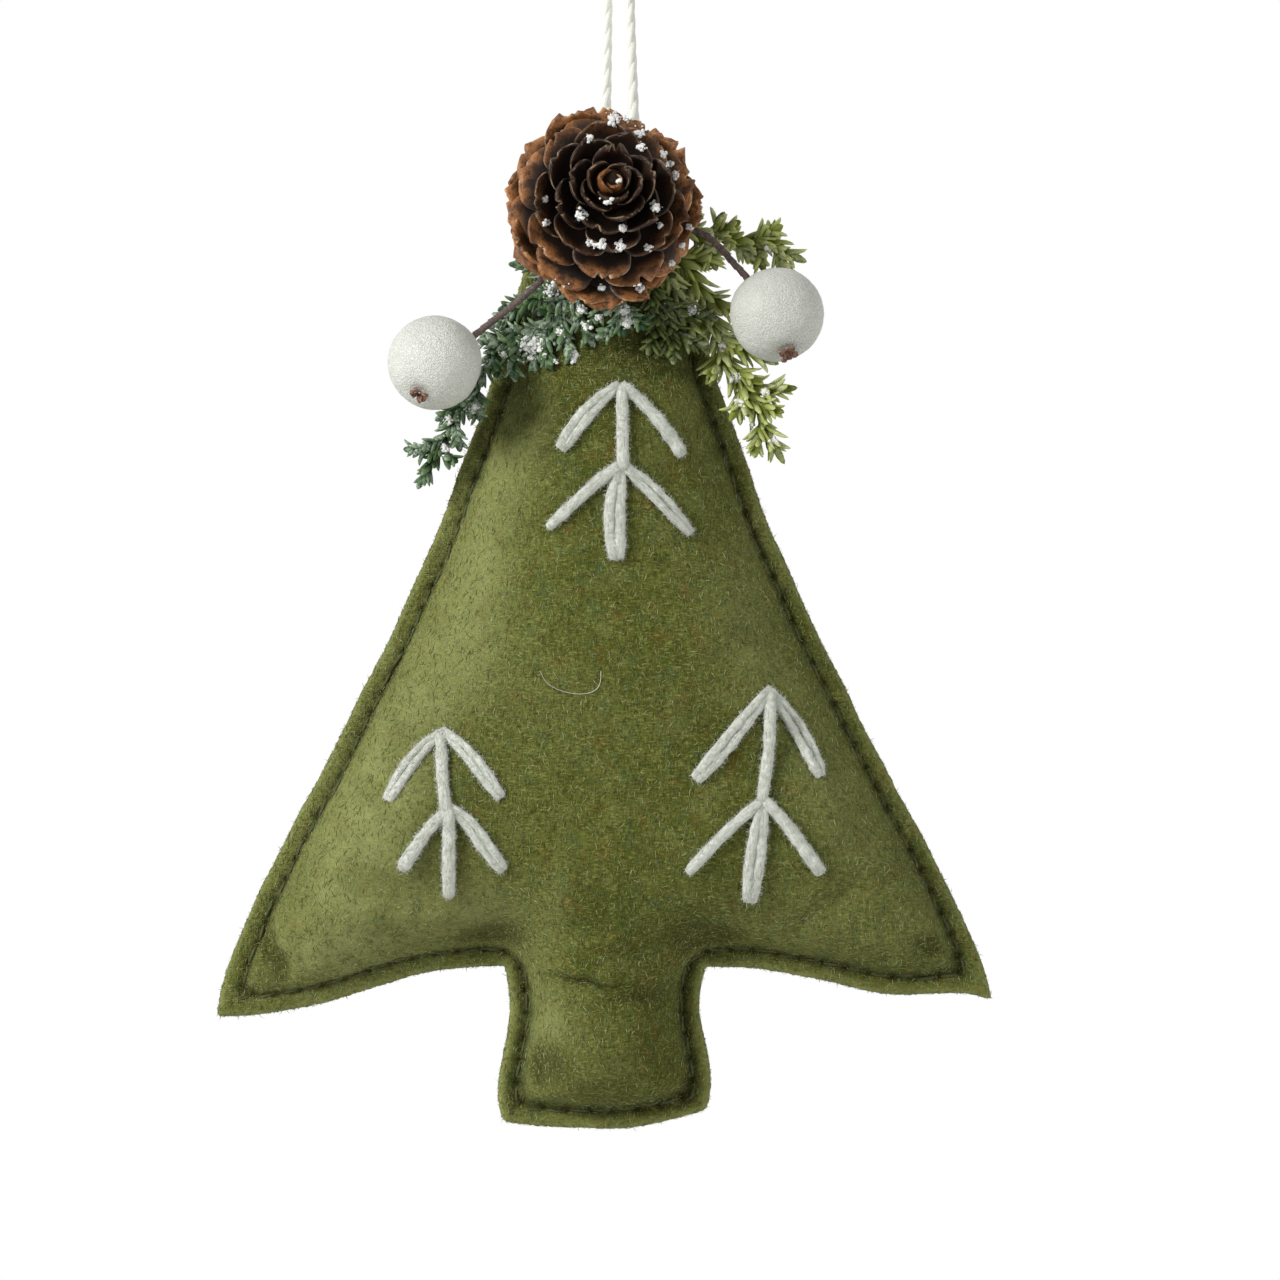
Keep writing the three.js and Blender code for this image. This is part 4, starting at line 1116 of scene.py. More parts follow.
wool_strands = {
    "wool_tree_top": [
        *pair([(619, 384), (598, 399), (578, 421), (561, 448)], 13, 20),
        *single([(622, 384), (646, 404), (664, 426), (681, 455)], 12, 16),
        *single([(621.5, 386), (622, 430), (623, 470)], 13, 14),
        *single([(619, 465), (592, 486), (570, 507), (549, 527)], 14, 12),
        *pair([(624, 465), (653, 491), (671, 511), (690, 533)], 15, 15),
        *pair([(620, 470), (613.5, 500), (613, 528), (617, 558)], 18, 23),
    ],
    "wool_tree_left": [
        *pair([(446, 730), (421, 747), (402, 772), (388, 800)], 13, 17),
        *pair([(443, 730), (466, 748), (484, 772), (501, 797)], 13, 17),
        *single([(442, 733), (442, 778), (447, 815)], 14, 13),
        *single([(450, 809), (430, 825), (416, 845), (402, 868)], 12, 16),
        *pair([(448, 806), (470, 821), (486, 844), (503, 869)], 13, 18),
        *single([(449, 808), (449, 850), (449, 895)], 14, 15),
    ],
    "wool_tree_right": [
        *pair([(770, 689), (744, 722), (722, 750), (696, 779)], 14, 20),
        *pair([(767, 689), (791, 716), (807, 743), (820, 776)], 14, 19),
        *single([(769, 691), (770, 736), (768, 765), (761, 805)], 14, 13),
        *single([(763, 800), (731, 825), (708, 849), (688, 872)], 12, 13),
        *single([(763, 799), (786, 822), (803, 846), (820.5, 872)], 13, 16),
        *pair([(763, 804), (757, 842), (752.5, 873), (750, 900)], 17, 22),
    ],
}


def wool_strand(line, radius, lift, rng):
    """A soft round strand laid on the felt along a line of pixels: its ends go down into the felt."""
    share = np.linspace(0, 1, len(line))
    round_end = np.clip(np.sin(math.pi * np.clip(share, 0.02, 0.98)) * 5, 0, 1) ** 0.5
    bumps = sum(rng.normal(0, 0.035) * np.sin(math.tau * (share * n + rng.random())) for n in (2, 3, 5, 7))
    size = radius * PIXEL * (0.6 + 0.4 * round_end) * (1 + bumps)
    route = []
    for (x, y), thick, end in zip(line, size, round_end):
        place, normal = through_pixel(x, y, front_face)
        if place is None:
            continue
        away = Vector((0, -1, 0)).lerp(normal, 0.5).normalized()
        route.append(place + away * (thick * 0.55 * end + lift * end - thick * 0.5 * (1 - end)))
    route = np.array(route)
    route = np.vstack([route[:1], (route[:-2] + 2 * route[1:-1] + route[2:]) / 4, route[-1:]])
    twist = np.cos(2 * round_turn(12)[None] - math.tau * run_of(route)[:, None] / (3.1 * MM))
    return tube(route, size[:, None] * (1 + 0.05 * twist), 12, flat=0.75, up=(0, -1, 0))


yarn = Finish("wool_yarn", 0.95, Sheen_Weight=0.2, Sheen_Roughness=0.5, Specular_IOR_Level=0.1)
streaks = yarn.noise(1, 3, 0.75, at=yarn.along_strand((1.6, 0.11, 0.11)))
clouds = yarn.noise(0.7, 2, 0.5)
yarn_colour = yarn.mix(yarn.between(clouds, 0.3, 0.7), (0.56, 0.58, 0.5), (0.74, 0.755, 0.69))
yarn_colour = yarn.tinted(yarn_colour, streaks, 0.52, 0.3, 0.85, (0.25, 0.28, 0.18))
yarn.done(yarn_colour, yarn.bump(streaks, 0.16))
wool_pieces = {}
for number, (name, strands_here) in enumerate(wool_strands.items()):
    rng = np.random.default_rng(40 + number)
    parts = [
        wool_strand(line, radius, 0.035 * MM * order, rng)
        for order, (line, radius) in enumerate(strands_here)
    ]
    wool = piece_from_parts(name.replace("wool_tree", "yarn_tree"), parts)
    wool_pieces[name] = hand_over(wool, yarn.material, "wool", name)

# %% [markdown]
# Loose fibres make felt and wool look soft. Each is a thread of two rings and a point, bent and laid
# close to the surface. Thousands are made at once from the same few lines of arithmetic, because a shape
# repeated so often has to be light.

# %% Helper for loose fibres
def fibres(name, roots, outward, rng, length, lift, thickness, along=None, spread=1.0):
    """Bent hairs on a surface. lift is how far a hair's middle and tip stand off, in shares of its length."""
    count = len(roots)
    random_way = rng.normal(size=(count, 3))
    if along is not None:
        random_way = random_way * spread + along * rng.choice((-1, 1), count)[:, None]
    way = unit(random_way - outward * (random_way * outward).sum(1)[:, None])
    aside = np.cross(outward, way)
    length = length * rng.uniform(0.5, 1.3, count)
    bend = rng.normal(0, 0.35, count)
    lift = lift * rng.uniform(0.2, 1.6, count)
    rings = []
    for share, rise, sides in ((0, -0.15, 3), (0.5, 0.8, 3), (1, 1.0, 1)):
        middle = roots + length[:, None] * (
            way * share + aside * (bend * share ** 2)[:, None] + outward * (lift * rise)[:, None]
        )
        for angle in round_turn(3)[:sides]:
            off_middle = aside * math.cos(angle) + outward * math.sin(angle)
            rings.append(middle + off_middle * (thickness * (sides > 1) / 2))
    points = np.stack(rings, axis=1).reshape(-1, 3)
    pattern = [(0, 1, 4, 3), (1, 2, 5, 4), (2, 0, 3, 5), (3, 4, 6), (4, 5, 6), (5, 3, 6), (2, 1, 0)]
    faces = [tuple(len(rings) * k + v for v in face) for k in range(count) for face in pattern]
    piece = piece_from(name, points, faces)
    store(piece, "tone", np.repeat(rng.random(count), len(rings)))
    return piece


def spots_on(piece, count, rng, keep=None):
    """Random places on the faces of a piece, with the way out at each. Keep says how likely a face is."""
    mesh = piece.data
    areas = np.array([face.area for face in mesh.polygons])
    if keep is not None:
        areas = areas * keep(np.array([face.center for face in mesh.polygons]),
                             np.array([face.normal for face in mesh.polygons]))
    chosen = rng.choice(len(areas), count, p=areas / areas.sum())
    points = points_of(mesh)
    places, ways = [], []
    for number in chosen:
        face = mesh.polygons[number]
        weights = rng.dirichlet(np.ones(len(face.vertices)))
        places.append(weights @ points[list(face.vertices)])
        ways.append(face.normal[:])
    return np.array(places), np.array(ways)


# %% [markdown]
# Felt has its hairs on both faces and, shorter and more upright, on the cut edge. On the front most of
# them lie up and down. Wool has the finest. A few hairs are pale, brown or bluish, and one long white hair
# has strayed onto the felt's face, where it lies in an arc.

# %% Loose fibres of the felt and the wool
fuzz = np.random.default_rng(77)
more_at_margin, low_crown = 0.3, 3 * MM
front_spots = spots_on(
    front_felt, 18500, fuzz,
    lambda middle, way: (way[:, 1] < 0.1) * (1 + more_at_margin * (middle[:, 1] > -low_crown))
)
back_spots = spots_on(
    back_felt, 9500, fuzz,
    lambda middle, way: (way[:, 1] > -0.1) * (1 + more_at_margin * (middle[:, 1] < low_crown))
)
upright = np.array([0, 0, 1.0])
front_fuzz = fibres("felt_fibres_front", *front_spots, fuzz, 0.85 * MM, 0.1, 0.075 * MM, upright, 0.55)
back_fuzz = fibres("felt_fibres_back", *back_spots, fuzz, 0.85 * MM, 0.1, 0.075 * MM)
cut_spots = spots_on(
    front_felt, 11000, fuzz,
    lambda middle, way: (np.abs(middle[:, 1]) < 2.6 * MM) * (np.abs(way[:, 1]) < 0.95)
)
cut_fuzz = fibres("felt_fibres_cut", *cut_spots, fuzz, 0.4 * MM, 0.4, 0.05 * MM)
wool_spots = [np.vstack(lots) for lots in zip(*(spots_on(wool, 6500, fuzz) for wool in wool_pieces.values()))]
wool_fuzz = fibres("wool_fibres", *wool_spots, fuzz, 0.5 * MM, 0.5, 0.042 * MM)
stray_pixels = [(540, 671), (547, 683), (562, 691), (580, 694), (594, 691), (600, 683), (601, 671)]
stray_line = [through_pixel(x, y, front_face)[0] + Vector((0, -0.12 * MM, 0)) for x, y in stray_pixels]
stray_line = smooth_route(np.array(stray_line), 0.3 * MM)[0]
stray_hair = piece_from_parts("felt_stray_hair", [tube(stray_line, np.full(len(stray_line), 0.028 * MM), 5)])
store(stray_hair, "tone", np.clip(np.linspace(-0.3, 1.6, len(stray_hair.data.vertices)), 0, 1))

felt_hair = Finish("felt_fibre", 0.9, Specular_IOR_Level=0.05)
tone = felt_hair.attribute("tone")
hair_colour = (0.086, 0.098, 0.023)
for low, high, colour in (
    (0, 0.55, (0.195, 0.215, 0.072)),
    (0.55, 0.85, (0.44, 0.46, 0.22)),
    (0.86, 0.88, (0.2, 0.11, 0.03)),
    (0.94, 0.95, (0.09, 0.19, 0.12)),
):
    hair_colour = felt_hair.tinted(hair_colour, tone, low, high, 1, colour)
felt_hair.done(hair_colour)
wool_hair = Finish("wool_fibre", 0.9)
wool_hair.done(wool_hair.mix(wool_hair.attribute("tone"), (0.5, 0.52, 0.45), (0.8, 0.81, 0.76)))
for fuzzy in (front_fuzz, back_fuzz, cut_fuzz):
    hand_over(fuzzy, felt_hair.material, "felt")
hand_over(wool_fuzz, wool_hair.material, "wool")
hand_over(stray_hair, wool_hair.material, "felt")

# %% [markdown]
# A pine cone is one scale, repeated round a core a golden angle apart: wide open at the base, shut at the
# bud. The scale starts as a grid of shares, from side to side and from root to tip, extruded into a slab.
# Each copy takes the reach and lean of its place from the CAD, and is cupped round the axis like a petal.
# A few more carry the spiral on below the first, because the photograph shows a full ring at the base.

# %% Blank of a cone scale
def shape_of(piece):
    """The points and faces of a helper piece, which is then removed."""
    points, faces = points_of(piece.data), [tuple(face.vertices) for face in piece.data.polygons]
    bpy.data.objects.remove(piece)
    return points, faces


def slab_of_shares(columns, rows, width):
    """A slab in cells: its points run over the width from side to side, and 0 to 1 along and through."""
    let_go()
    bpy.ops.mesh.primitive_grid_add(x_subdivisions=columns, y_subdivisions=rows, size=1, location=(0, 0.5, 0))
    slab = bpy.context.object
    slab.scale = (width, 1, 1)
    settle_place(slab)
    extrude_to_slab(slab, (0, 0, 1))
    return shape_of(slab)


shares, scale_faces = slab_of_shares(16, 14, width=2)
print(f"cone scale: {len(scale_faces)} faces")

# %% [markdown]
# One function bends the blank into the scale that stands at a given place of the spiral. Each scale draws
# its own reach, width, tilt, notches and waves, so that no two are alike. The whole cone is then turned
# onto its axis, which points to the viewer and a little up.

# %% Pine cone
cone_base = np.array((-1.9, -9.73, -46.5)) * MM
cone_turn = np.array((Quaternion((0, 0, 1), math.radians(6.5))
                      @ Quaternion((1, 0, 0), math.radians(90 - 12.2))).to_matrix())
cone_fit = (0.93, 0.98, 0.975)
cone_length, cone_radius, core_radius, bud_radius = 18 * MM, 12.8 * MM, 5.2 * MM, 1.1 * MM
cone_scales, base_scales = 40, 9
golden_angle = math.pi * (3 - math.sqrt(5))
widest_at = 0.64


def cone_scale(number, rng):
    """Points of one scale, with its rim, its share from root to tip, and its place in the cone."""
    t = max(0, number / (cone_scales - 1))
    angle = number * golden_angle + rng.normal(0, 0.12)
    reach = mix(8.75, 3.4, t ** 2) * MM * (1 + rng.normal(0, 0.042))
    width = mix(9.0, 4.6, t ** 2.5) * MM * (1 + rng.normal(0, 0.07))
    root_height = cone_length * mix(0.09, 0.76, t) + min(0, number) * 0.12 * MM
    root_radius = 0.85 * mix(core_radius, bud_radius, t ** 0.8)
    tip_radius = mix(bud_radius, cone_radius, (1 - t ** 1.5) ** 0.9) + min(0, number) * 0.03 * MM
    lean = math.asin(max(-1, min(1, (tip_radius - root_radius) / reach)))
    rise = reach * math.cos(lean)
    notches = [(rng.normal(0, size), n, rng.uniform(0, 6)) for size, n in ((0.045, 4), (0.04, 7), (0.03, 12))]
    waves = [(rng.normal(0, 0.27 * (1 - 0.6 * t)), n, rng.uniform(0, 6)) for n in (3, 5, 8)]
    tilt = rng.normal(0, 0.17)

    def waved(u, plan):
        return sum(a * np.sin(u * n + b) for a, n, b in plan)

    def middle(u, v):
        """The scale's middle sheet: a petal cupped round the axis, with a wavy rim turned outwards."""
        taper = np.where(v < widest_at, 0.9, 0.385)
        half = width / 2 * np.sqrt(np.maximum(0, 1 - ((v - widest_at) / taper) ** 2))
        v = v * (1 - 0.05 * u * u * v) * (1 + waved(u, notches) * v ** 4)
        v = np.clip(v, 0, 1.1)
        out = root_radius + (tip_radius - root_radius) * np.abs(np.sin(v * math.pi / 2)) ** 0.9
        up = root_height + rise * v ** 1.35 - 0.35 * MM * (1 - t) * v ** 6
        wavy = waved(u, waves) * MM * v ** 3
        curl = np.maximum(out * 0.86, 0.9 * MM)
        turn = np.clip(half * u / curl, -2.7, 2.7)
        away = out - curl + curl * np.cos(turn) + wavy + 0.45 * MM * (1 - t) * v ** 8
        across = curl * np.sin(turn)
        up = up + across * tilt * v + wavy * 0.5
        return np.stack([away * math.cos(angle) - across * math.sin(angle),
                         away * math.sin(angle) + across * math.cos(angle), up], axis=1)

    u, v, through, small = shares[:, 0], shares[:, 1], shares[:, 2] - 0.5, 0.002
    normal = unit(np.cross(middle(u + small, v) - middle(u - small, v),
                           middle(u, v + small) - middle(u, v - small)), least=1e-12)
    edge = np.maximum(np.abs(u) ** 1.2 * np.clip(v * 3, 0, 1), v)
    thick = mix(0.75, 0.8, v) * (1 - 0.35 * u * u) * (1 - 0.72 * edge ** 7) * MM
    grooves = 0.04 * MM * np.cos(u * 26 + angle) * np.sin(math.pi * np.clip(v, 0, 1))
    place = middle(u, v) + normal * (thick * through + grooves)[:, None]
    return place, np.clip((edge - 0.86) / 0.14, 0, 1), v, np.full(len(v), t)


cone_rng = np.random.default_rng(21)
made = [cone_scale(number, cone_rng) for number in range(-base_scales, cone_scales)]
cone_points, cone_faces = joined([(scale[0], scale_faces) for scale in made])
cone = piece_from("pine_cone_scales", cone_base + cone_points @ cone_turn.T * cone_fit, cone_faces)
store(cone, "which", np.repeat(cone_rng.random(len(made)), len(shares)))
for number, name in ((1, "rim"), (2, "out"), (3, "bud")):
    store(cone, name, np.concatenate([scale[number] for scale in made]))

# %% [markdown]
# The core that the scales grow from only shows as darkness between them. It is a profile spun round the
# cone's axis, and the spin's seam and pole are merged.

# %% Core of the cone
core_profile = [(0.001, 0), (1, 0), (1, 0.2), (0.72, 0.5), (0.36, 0.82), (0.001, 0.92)]
core = piece_from(
    "pine_cone_core", [(r * core_radius, 0, h * cone_length) for r, h in core_profile], []
)
steps = len(core_profile) - 1
core.data.edges.add(steps)
core.data.edges.foreach_set("vertices", [k for edge in range(steps) for k in (edge, edge + 1)])
take(core)
bpy.ops.object.mode_set(mode="EDIT")
bpy.ops.mesh.select_all(action="SELECT")
bpy.ops.mesh.spin(steps=20, angle=math.tau, center=(0, 0, 0), axis=(0, 0, 1))
bpy.ops.mesh.select_all(action="SELECT")
bpy.ops.mesh.remove_doubles(threshold=0.02 * MM)
bpy.ops.mesh.normals_make_consistent(inside=False)
bpy.ops.object.mode_set(mode="OBJECT")
core_points = points_of(core.data)
core_points += soft_noise(core_points, 1.6, 50)[:, None] * 0.2 * MM
set_points(core.data, cone_base + core_points @ cone_turn.T)
core.data.shade_smooth()

# %% [markdown]
# A scale is nearly black where it grows, and red brown towards its tip, with fine grain along it. That
# black, and the darker inner scales, are partly the wood's own colour and partly painted shade deep in
# the cone. Its rim is bleached to a thin, broken line of tan.

# %% Cone wood
wood = Finish("cone_scale_wood", 0.42, Specular_IOR_Level=0.24)
which, out, bud, rim_of_scale = map(wood.attribute, ("which", "out", "bud", "rim"))
grain = wood.noise(0.35, 3, 0.7)
patchy = wood.noise(1.8, 3, 0.6)
outer = wood.between(bud, 0.6, 0.15)
# Darker inner scales: partly the wood's colour and partly painted shade in the cone's centre.
tip_colour = wood.mix(outer, (0.034, 0.016, 0.008), (0.2, 0.084, 0.032))
tip_colour = wood.tinted(tip_colour, which, 0.5, 1, 0.6, (0.035, 0.015, 0.007))
# Near black at the root of each scale: partly the wood's colour and partly painted shade between the scales.
wood_colour = wood.mix(wood.between(out, 0.6, 1.0), (0.009, 0.0055, 0.004), tip_colour)
glow = wood.times(wood.between(patchy, 0.42, 0.6, 0.1, 1), outer)
glow = wood.times(glow, wood.between(out, 0.5, 0.9))
wood_colour = wood.mix(glow, wood_colour, (0.37, 0.155, 0.054))
wood_colour = wood.tinted(wood_colour, grain, 0.5, 0.3, 0.75, (0.010, 0.005, 0.003))
wood_colour = wood.tinted(wood_colour, bud, 0.95, 0.97, 0.7, (0.22, 0.08, 0.02))
worn = wood.times(wood.between(rim_of_scale, 0.76, 1.0), wood.between(patchy, 0.44, 0.62, 0.08, 0.95))
worn = wood.times(worn, wood.between(bud, 0.2, 0.8, 1, 0.45))
wood_colour = wood.mix(worn, wood_colour, (0.5, 0.35, 0.2))
wood.done(wood_colour, wood.bump(grain, 0.09, 0.8))
core_wood = Finish("cone_core_wood", 0.9, Specular_IOR_Level=0.1)
core_wood.done(core_wood.mix(core_wood.noise(0.5, 3), (0.006, 0.004, 0.003), (0.035, 0.018, 0.01)))
hand_over(cone, wood.material, "cone_wood", "pine_cone")
hand_over(core, core_wood.material, "cone_wood", "pine_cone")

# %% [markdown]
# The berries are foam balls rolled in clear and white grains. A smooth ball is dimpled at the end that
# faces away from its stem, and lifted by two sizes of noise. The grains themselves are bump and colour.

# %% Frosted berries
berry_radius = 6 * MM
berry_places = {
    "left": (Vector((-22.78, -13.51, -65.49)) * MM, Vector((-0.32, -0.66, -0.68)).normalized()),
    "right": (Vector((20.43, -15, -59.48)) * MM, Vector((0.22, -0.559, -0.799)).normalized()),
}
frost = Finish("berry_frosting", 0.55, Subsurface_Weight=0.25, Subsurface_Radius=(1, 1, 0.9),
               Subsurface_Scale=0.9 * MM, Coat_Weight=0.15, Coat_Roughness=0.4)
grains = frost.cells(0.24)
specks = frost.noise(0.16, 2, 0.8)
bare = frost.noise(1.5, 3, 0.65)
frost_colour = frost.mix(frost.between(grains, 0.55, 0.15), (0.58, 0.59, 0.53), (0.78, 0.79, 0.73))
frost_colour = frost.tinted(frost_colour, bare, 0.45, 0.75, 0.5, (0.5, 0.505, 0.45))
# Painted shade: greyer towards the stem, and all over the right berry.
frost_colour = frost.tinted(frost_colour, frost.attribute("painted_berry_shade"), 0, 1, 0.65, (0.5, 0.51, 0.45))
frost_colour = frost.tinted(frost_colour, specks, 0.56, 0.7, 1, (0.86, 0.87, 0.83))
frost.done(frost_colour, frost.bump(specks, 0.14, 0.8, over=frost.bump(grains, -0.18, 0.8)))


def frosted_berry(side, seed, shade_all_over):
    """A berry, dimpled under its crown. It has painted shade: greyer towards its stem, and greyer all over by
    a given share.
    """
    middle, facing = berry_places[side]
    let_go()
    bpy.ops.mesh.primitive_ico_sphere_add(subdivisions=6, radius=berry_radius, location=(0, 0, 0))
    berry = bpy.context.object
    berry.name = f"frosted_berry_{side}"
    points = points_of(berry.data)
    out = unit(points)
    to_crown = out @ np.array(facing)
    off_axis = np.sqrt(np.maximum(0, 1 - to_crown ** 2)) * berry_radius / MM
    dimple = np.where(to_crown > 0, 0.5 * bell(off_axis, 0, 1.6), 0)
    lumps = 0.13 * soft_noise(points, 4, seed) + 0.05 * soft_noise(points, 0.7, seed + 1)
    points += out * ((lumps - dimple - 0.06) * MM)[:, None] + np.array(middle)
    set_points(berry.data, points)
    # Painted shade towards the stem.
    stem_side = np.clip(0.5 - to_crown * 0.5, 0, 1) ** 2
    store(berry, "painted_berry_shade", np.clip(0.8 * stem_side + shade_all_over, 0, 1))
    berry.data.shade_smooth()
    return berry


hand_over(frosted_berry("left", 60, 0), frost.material, "berry_frost", "berry_left")
# The right berry gets painted shade all over.
hand_over(frosted_berry("right", 64, 0.75), frost.material, "berry_frost", "berry_right")

# %% [markdown]
# At the free end of each berry sits the dried crown of a real one: a knot of small curled sepals. One
# sepal is a narrow grid, pinched to a point and curled, and its copies are crumpled each in its own way.

# %% Crowns of the berries
husk = Finish("berry_crown_husk", 0.85)
husk_mottle = husk.noise(0.3, 3, 0.7)
husk.done(
    husk.mix(husk.between(husk_mottle, 0.3, 0.7), (0.05, 0.022, 0.014), (0.36, 0.2, 0.14)),
    husk.bump(husk_mottle, 0.12),
)
sepal, sepal_faces = slab_of_shares(4, 6, width=1)
across, share, through = sepal.T
outer_sepals, inner_sepals = 6, 5


def crown_of(side, seed):
    middle, facing = berry_places[side]
    rng = np.random.default_rng(seed)
    turn = np.array(facing.to_track_quat("Z", "Y").to_matrix())
    sepals = []
    for number in range(outer_sepals + inner_sepals):
        inner = number >= outer_sepals
        angle = math.tau * (number / (inner_sepals if inner else outer_sepals) + rng.normal(0, 0.05))
        long = (0.9 if inner else 1.25) * rng.uniform(0.75, 1.2)
        width = rng.uniform(0.7, 1.1) * (0.7 if inner else 1)
        half = width * across * np.sqrt(np.clip(1 - share ** 3, 0.02, 1))
        out = 0.25 + long * share * (0.5 if inner else 0.85)
        up = 5.75 + long * (0.75 * share if inner else 0.55 * np.sin(share * 2.2)) + half ** 2 * 0.5
        up = up + rng.normal(0, 0.12) * share + 0.12 * np.sin(across * 9 + number) * share
        up = up + (through - 0.5) * 0.22
        x = out * math.cos(angle) - half * math.sin(angle)
        y = out * math.sin(angle) + half * math.cos(angle)
        sepals.append((np.array(middle) + np.stack([x, y, up], axis=1) * MM @ turn.T, sepal_faces))
    return piece_from(f"berry_crown_{side}", *joined(sepals))


for seed, side in enumerate(berry_places, 70):
    hand_over(crown_of(side, seed), husk.material, "calyx_paper", f"berry_{side}_calyx")

# %% [markdown]
# The stems are wires wrapped in crepe paper. A tube whose radius steps along a spiral shows the wrapping.

# %% Wrapped stems
wrap_pitch = 1.25 * MM
stem_routes = {
    "left": [(-18.6, -11.55, -62.45), (-16.74, -10.69, -61.06), (-9.51, -12.76, -55.19),
             (-6.58, -7.2, -50.39)],
    "right": [(17.0, -13.73, -55.3), (15.5, -13.16, -53.45), (10.49, -11, -48.77), (3.54, -7.17, -49.25)],
}
crepe = Finish("stem_crepe_paper", 0.85)
crepe_fold = crepe.noise(1, 3, 0.7, at=crepe.along_strand((0.18, 0.5, 0.5)))
crepe_stain = crepe.noise(1.2, 2)
crepe_colour = crepe.mix(crepe.between(crepe_stain, 0.35, 0.7), (0.055, 0.042, 0.045), (0.12, 0.075, 0.055))
crepe_colour = crepe.tinted(crepe_colour, crepe_fold, 0.5, 0.75, 1, (0.24, 0.2, 0.2))
crepe.done(crepe_colour, crepe.bump(crepe_fold, 0.12))
for side, route in stem_routes.items():
    line = smooth_route(np.array(route) * MM, 0.16 * MM)[0]
    wrap = (round_turn(14)[None] / math.tau - run_of(line)[:, None] / wrap_pitch) % 1
    stem = piece_from_parts(f"wrapped_stem_{side}", [tube(line, (0.38 + 0.12 * wrap) * MM, 14)])
    hand_over(stem, crepe.material, "stem_wrap", f"berry_{side}_stem")

# %% [markdown]
# The sprigs are moulded cedar: a twig, short side twigs, and close blunt needles on both. Each follows its
# CAD twig, and the ends of more side twigs are read from the photograph where the greens spread wider.

# %% Plans of the sprigs
sprig_plans = {  # route, length and width of its needles, its colour, and the ends of extra side twigs
    "sprig_left": (
        [(-5.99, -7.17, -51.41), (-9.53, -5.65, -55.66), (-14.54, -4.6, -62.07),
         (-17.16, -4.6, -67.17), (-21, -4.6, -73.53), (-24.2, -4.6, -79.3)],
        3.4, 1.12, "dark",
        [(-11.6, -6.2, -52.8), (-13, -6.6, -66), (-17.6, -6.2, -71.5), (-25.2, -5.2, -76.3),
         (-21.4, -5.2, -77)],
    ),
    "sprig_centre_left": (
        [(-4.11, -8.5, -52.5), (-5.72, -10.01, -56.89), (-8.47, -8.78, -60.42), (-11.6, -6.15, -63.94)],
        3.4, 1.15, "dark",
        [(-14.6, -7.2, -59.8), (-12.2, -8.2, -61.5), (-8.6, -8.6, -64.4), (-5.9, -9.2, -63.6),
         (-3.6, -9.8, -61.6), (-10.4, -7.8, -57.4), (-15.6, -6.4, -62.6)],
    ),
    "sprig_centre": (
        [(-0.19, -8.97, -52.66), (0.5, -10.74, -55.14), (0.98, -11.27, -60.26)],
        3.1, 1.12, "dark",
        [(-2.4, -10.6, -59.4), (3.1, -10.4, -59.9), (-0.9, -10.9, -61.4)],
    ),
    "sprig_centre_right": (
        [(1.96, -8.04, -51.6), (4.29, -8.55, -54.67), (6.57, -7.46, -59.23), (7.14, -8.17, -63.41)],
        3.6, 1.12, "olive",
        [(4.6, -9, -62.6), (10, -7.2, -62.6), (11.2, -6.8, -59.4)],
    ),
    "sprig_right_lower": (
        [(3.62, -6.41, -49.74), (9.28, -4.6, -53.06), (12.04, -4.6, -58.98),
         (14.02, -4.6, -64.91), (17.38, -4.6, -70.04), (20, -4.6, -75.2)],
        4.7, 1.12, "lime",
        [(12.6, -5.6, -51.4), (9.6, -6.6, -60.6), (18.2, -5.4, -64.4),
         (20.4, -5.2, -68.6), (15.8, -5.4, -70.6), (13.2, -5.4, -65.6)],
    ),
    "sprig_right_upper": (
        [(4.44, -4.9, -47.36), (10.48, -4.6, -48.6), (14.97, -4.6, -49.4), (19.2, -4.6, -50),
         (21.9, -4.6, -51.2)],
        4.0, 1.2, "lime",
        [(12.8, -5, -47.8), (12.2, -5.2, -51.4), (19.8, -5, -49.2), (18.4, -5.2, -51.6)],
    ),
}

# %% [markdown]
# One needle is a spindle of a few faces: rings of five points with a point at both ends. It is set
# hundreds of times in pairs along the twigs, each pair turned on from the last and leaning to the tip.

# %% Needles and twigs
needle_rings = ((0, 0.45), (0.3, 0.95), (0.66, 0.93), (0.9, 0.55))
needle_sides = 5
needle_shares = [*np.repeat([share for share, _ in needle_rings], needle_sides), 0, 1]
twig_step = 0.35 * MM
to_viewer = np.array((0, -1, 0))


def needle(root, way, facing, length, width):
    """Points and faces of one blunt needle: a flattened spindle that bends a little upwards."""
    aside = unit(np.cross(way, facing))
    up = np.cross(aside, way)
    points = []
    for share, size in needle_rings:
        for angle in math.tau * (np.arange(needle_sides) + 0.25) / needle_sides:
            points.append(root + way * length * share + up * 0.18 * length * share ** 2
                          + (aside * math.cos(angle) + up * 0.55 * math.sin(angle)) * width * size / 2)
    points += [root, root + way * length + up * 0.2 * length]
    last = (len(needle_rings) - 1) * needle_sides
    faces = bands(len(needle_rings), needle_sides)
    for k in range(needle_sides):
        j = (k + 1) % needle_sides
        faces += [(last + k, last + j, len(points) - 1), (j, k, len(points) - 2)]
    return np.array(points), faces


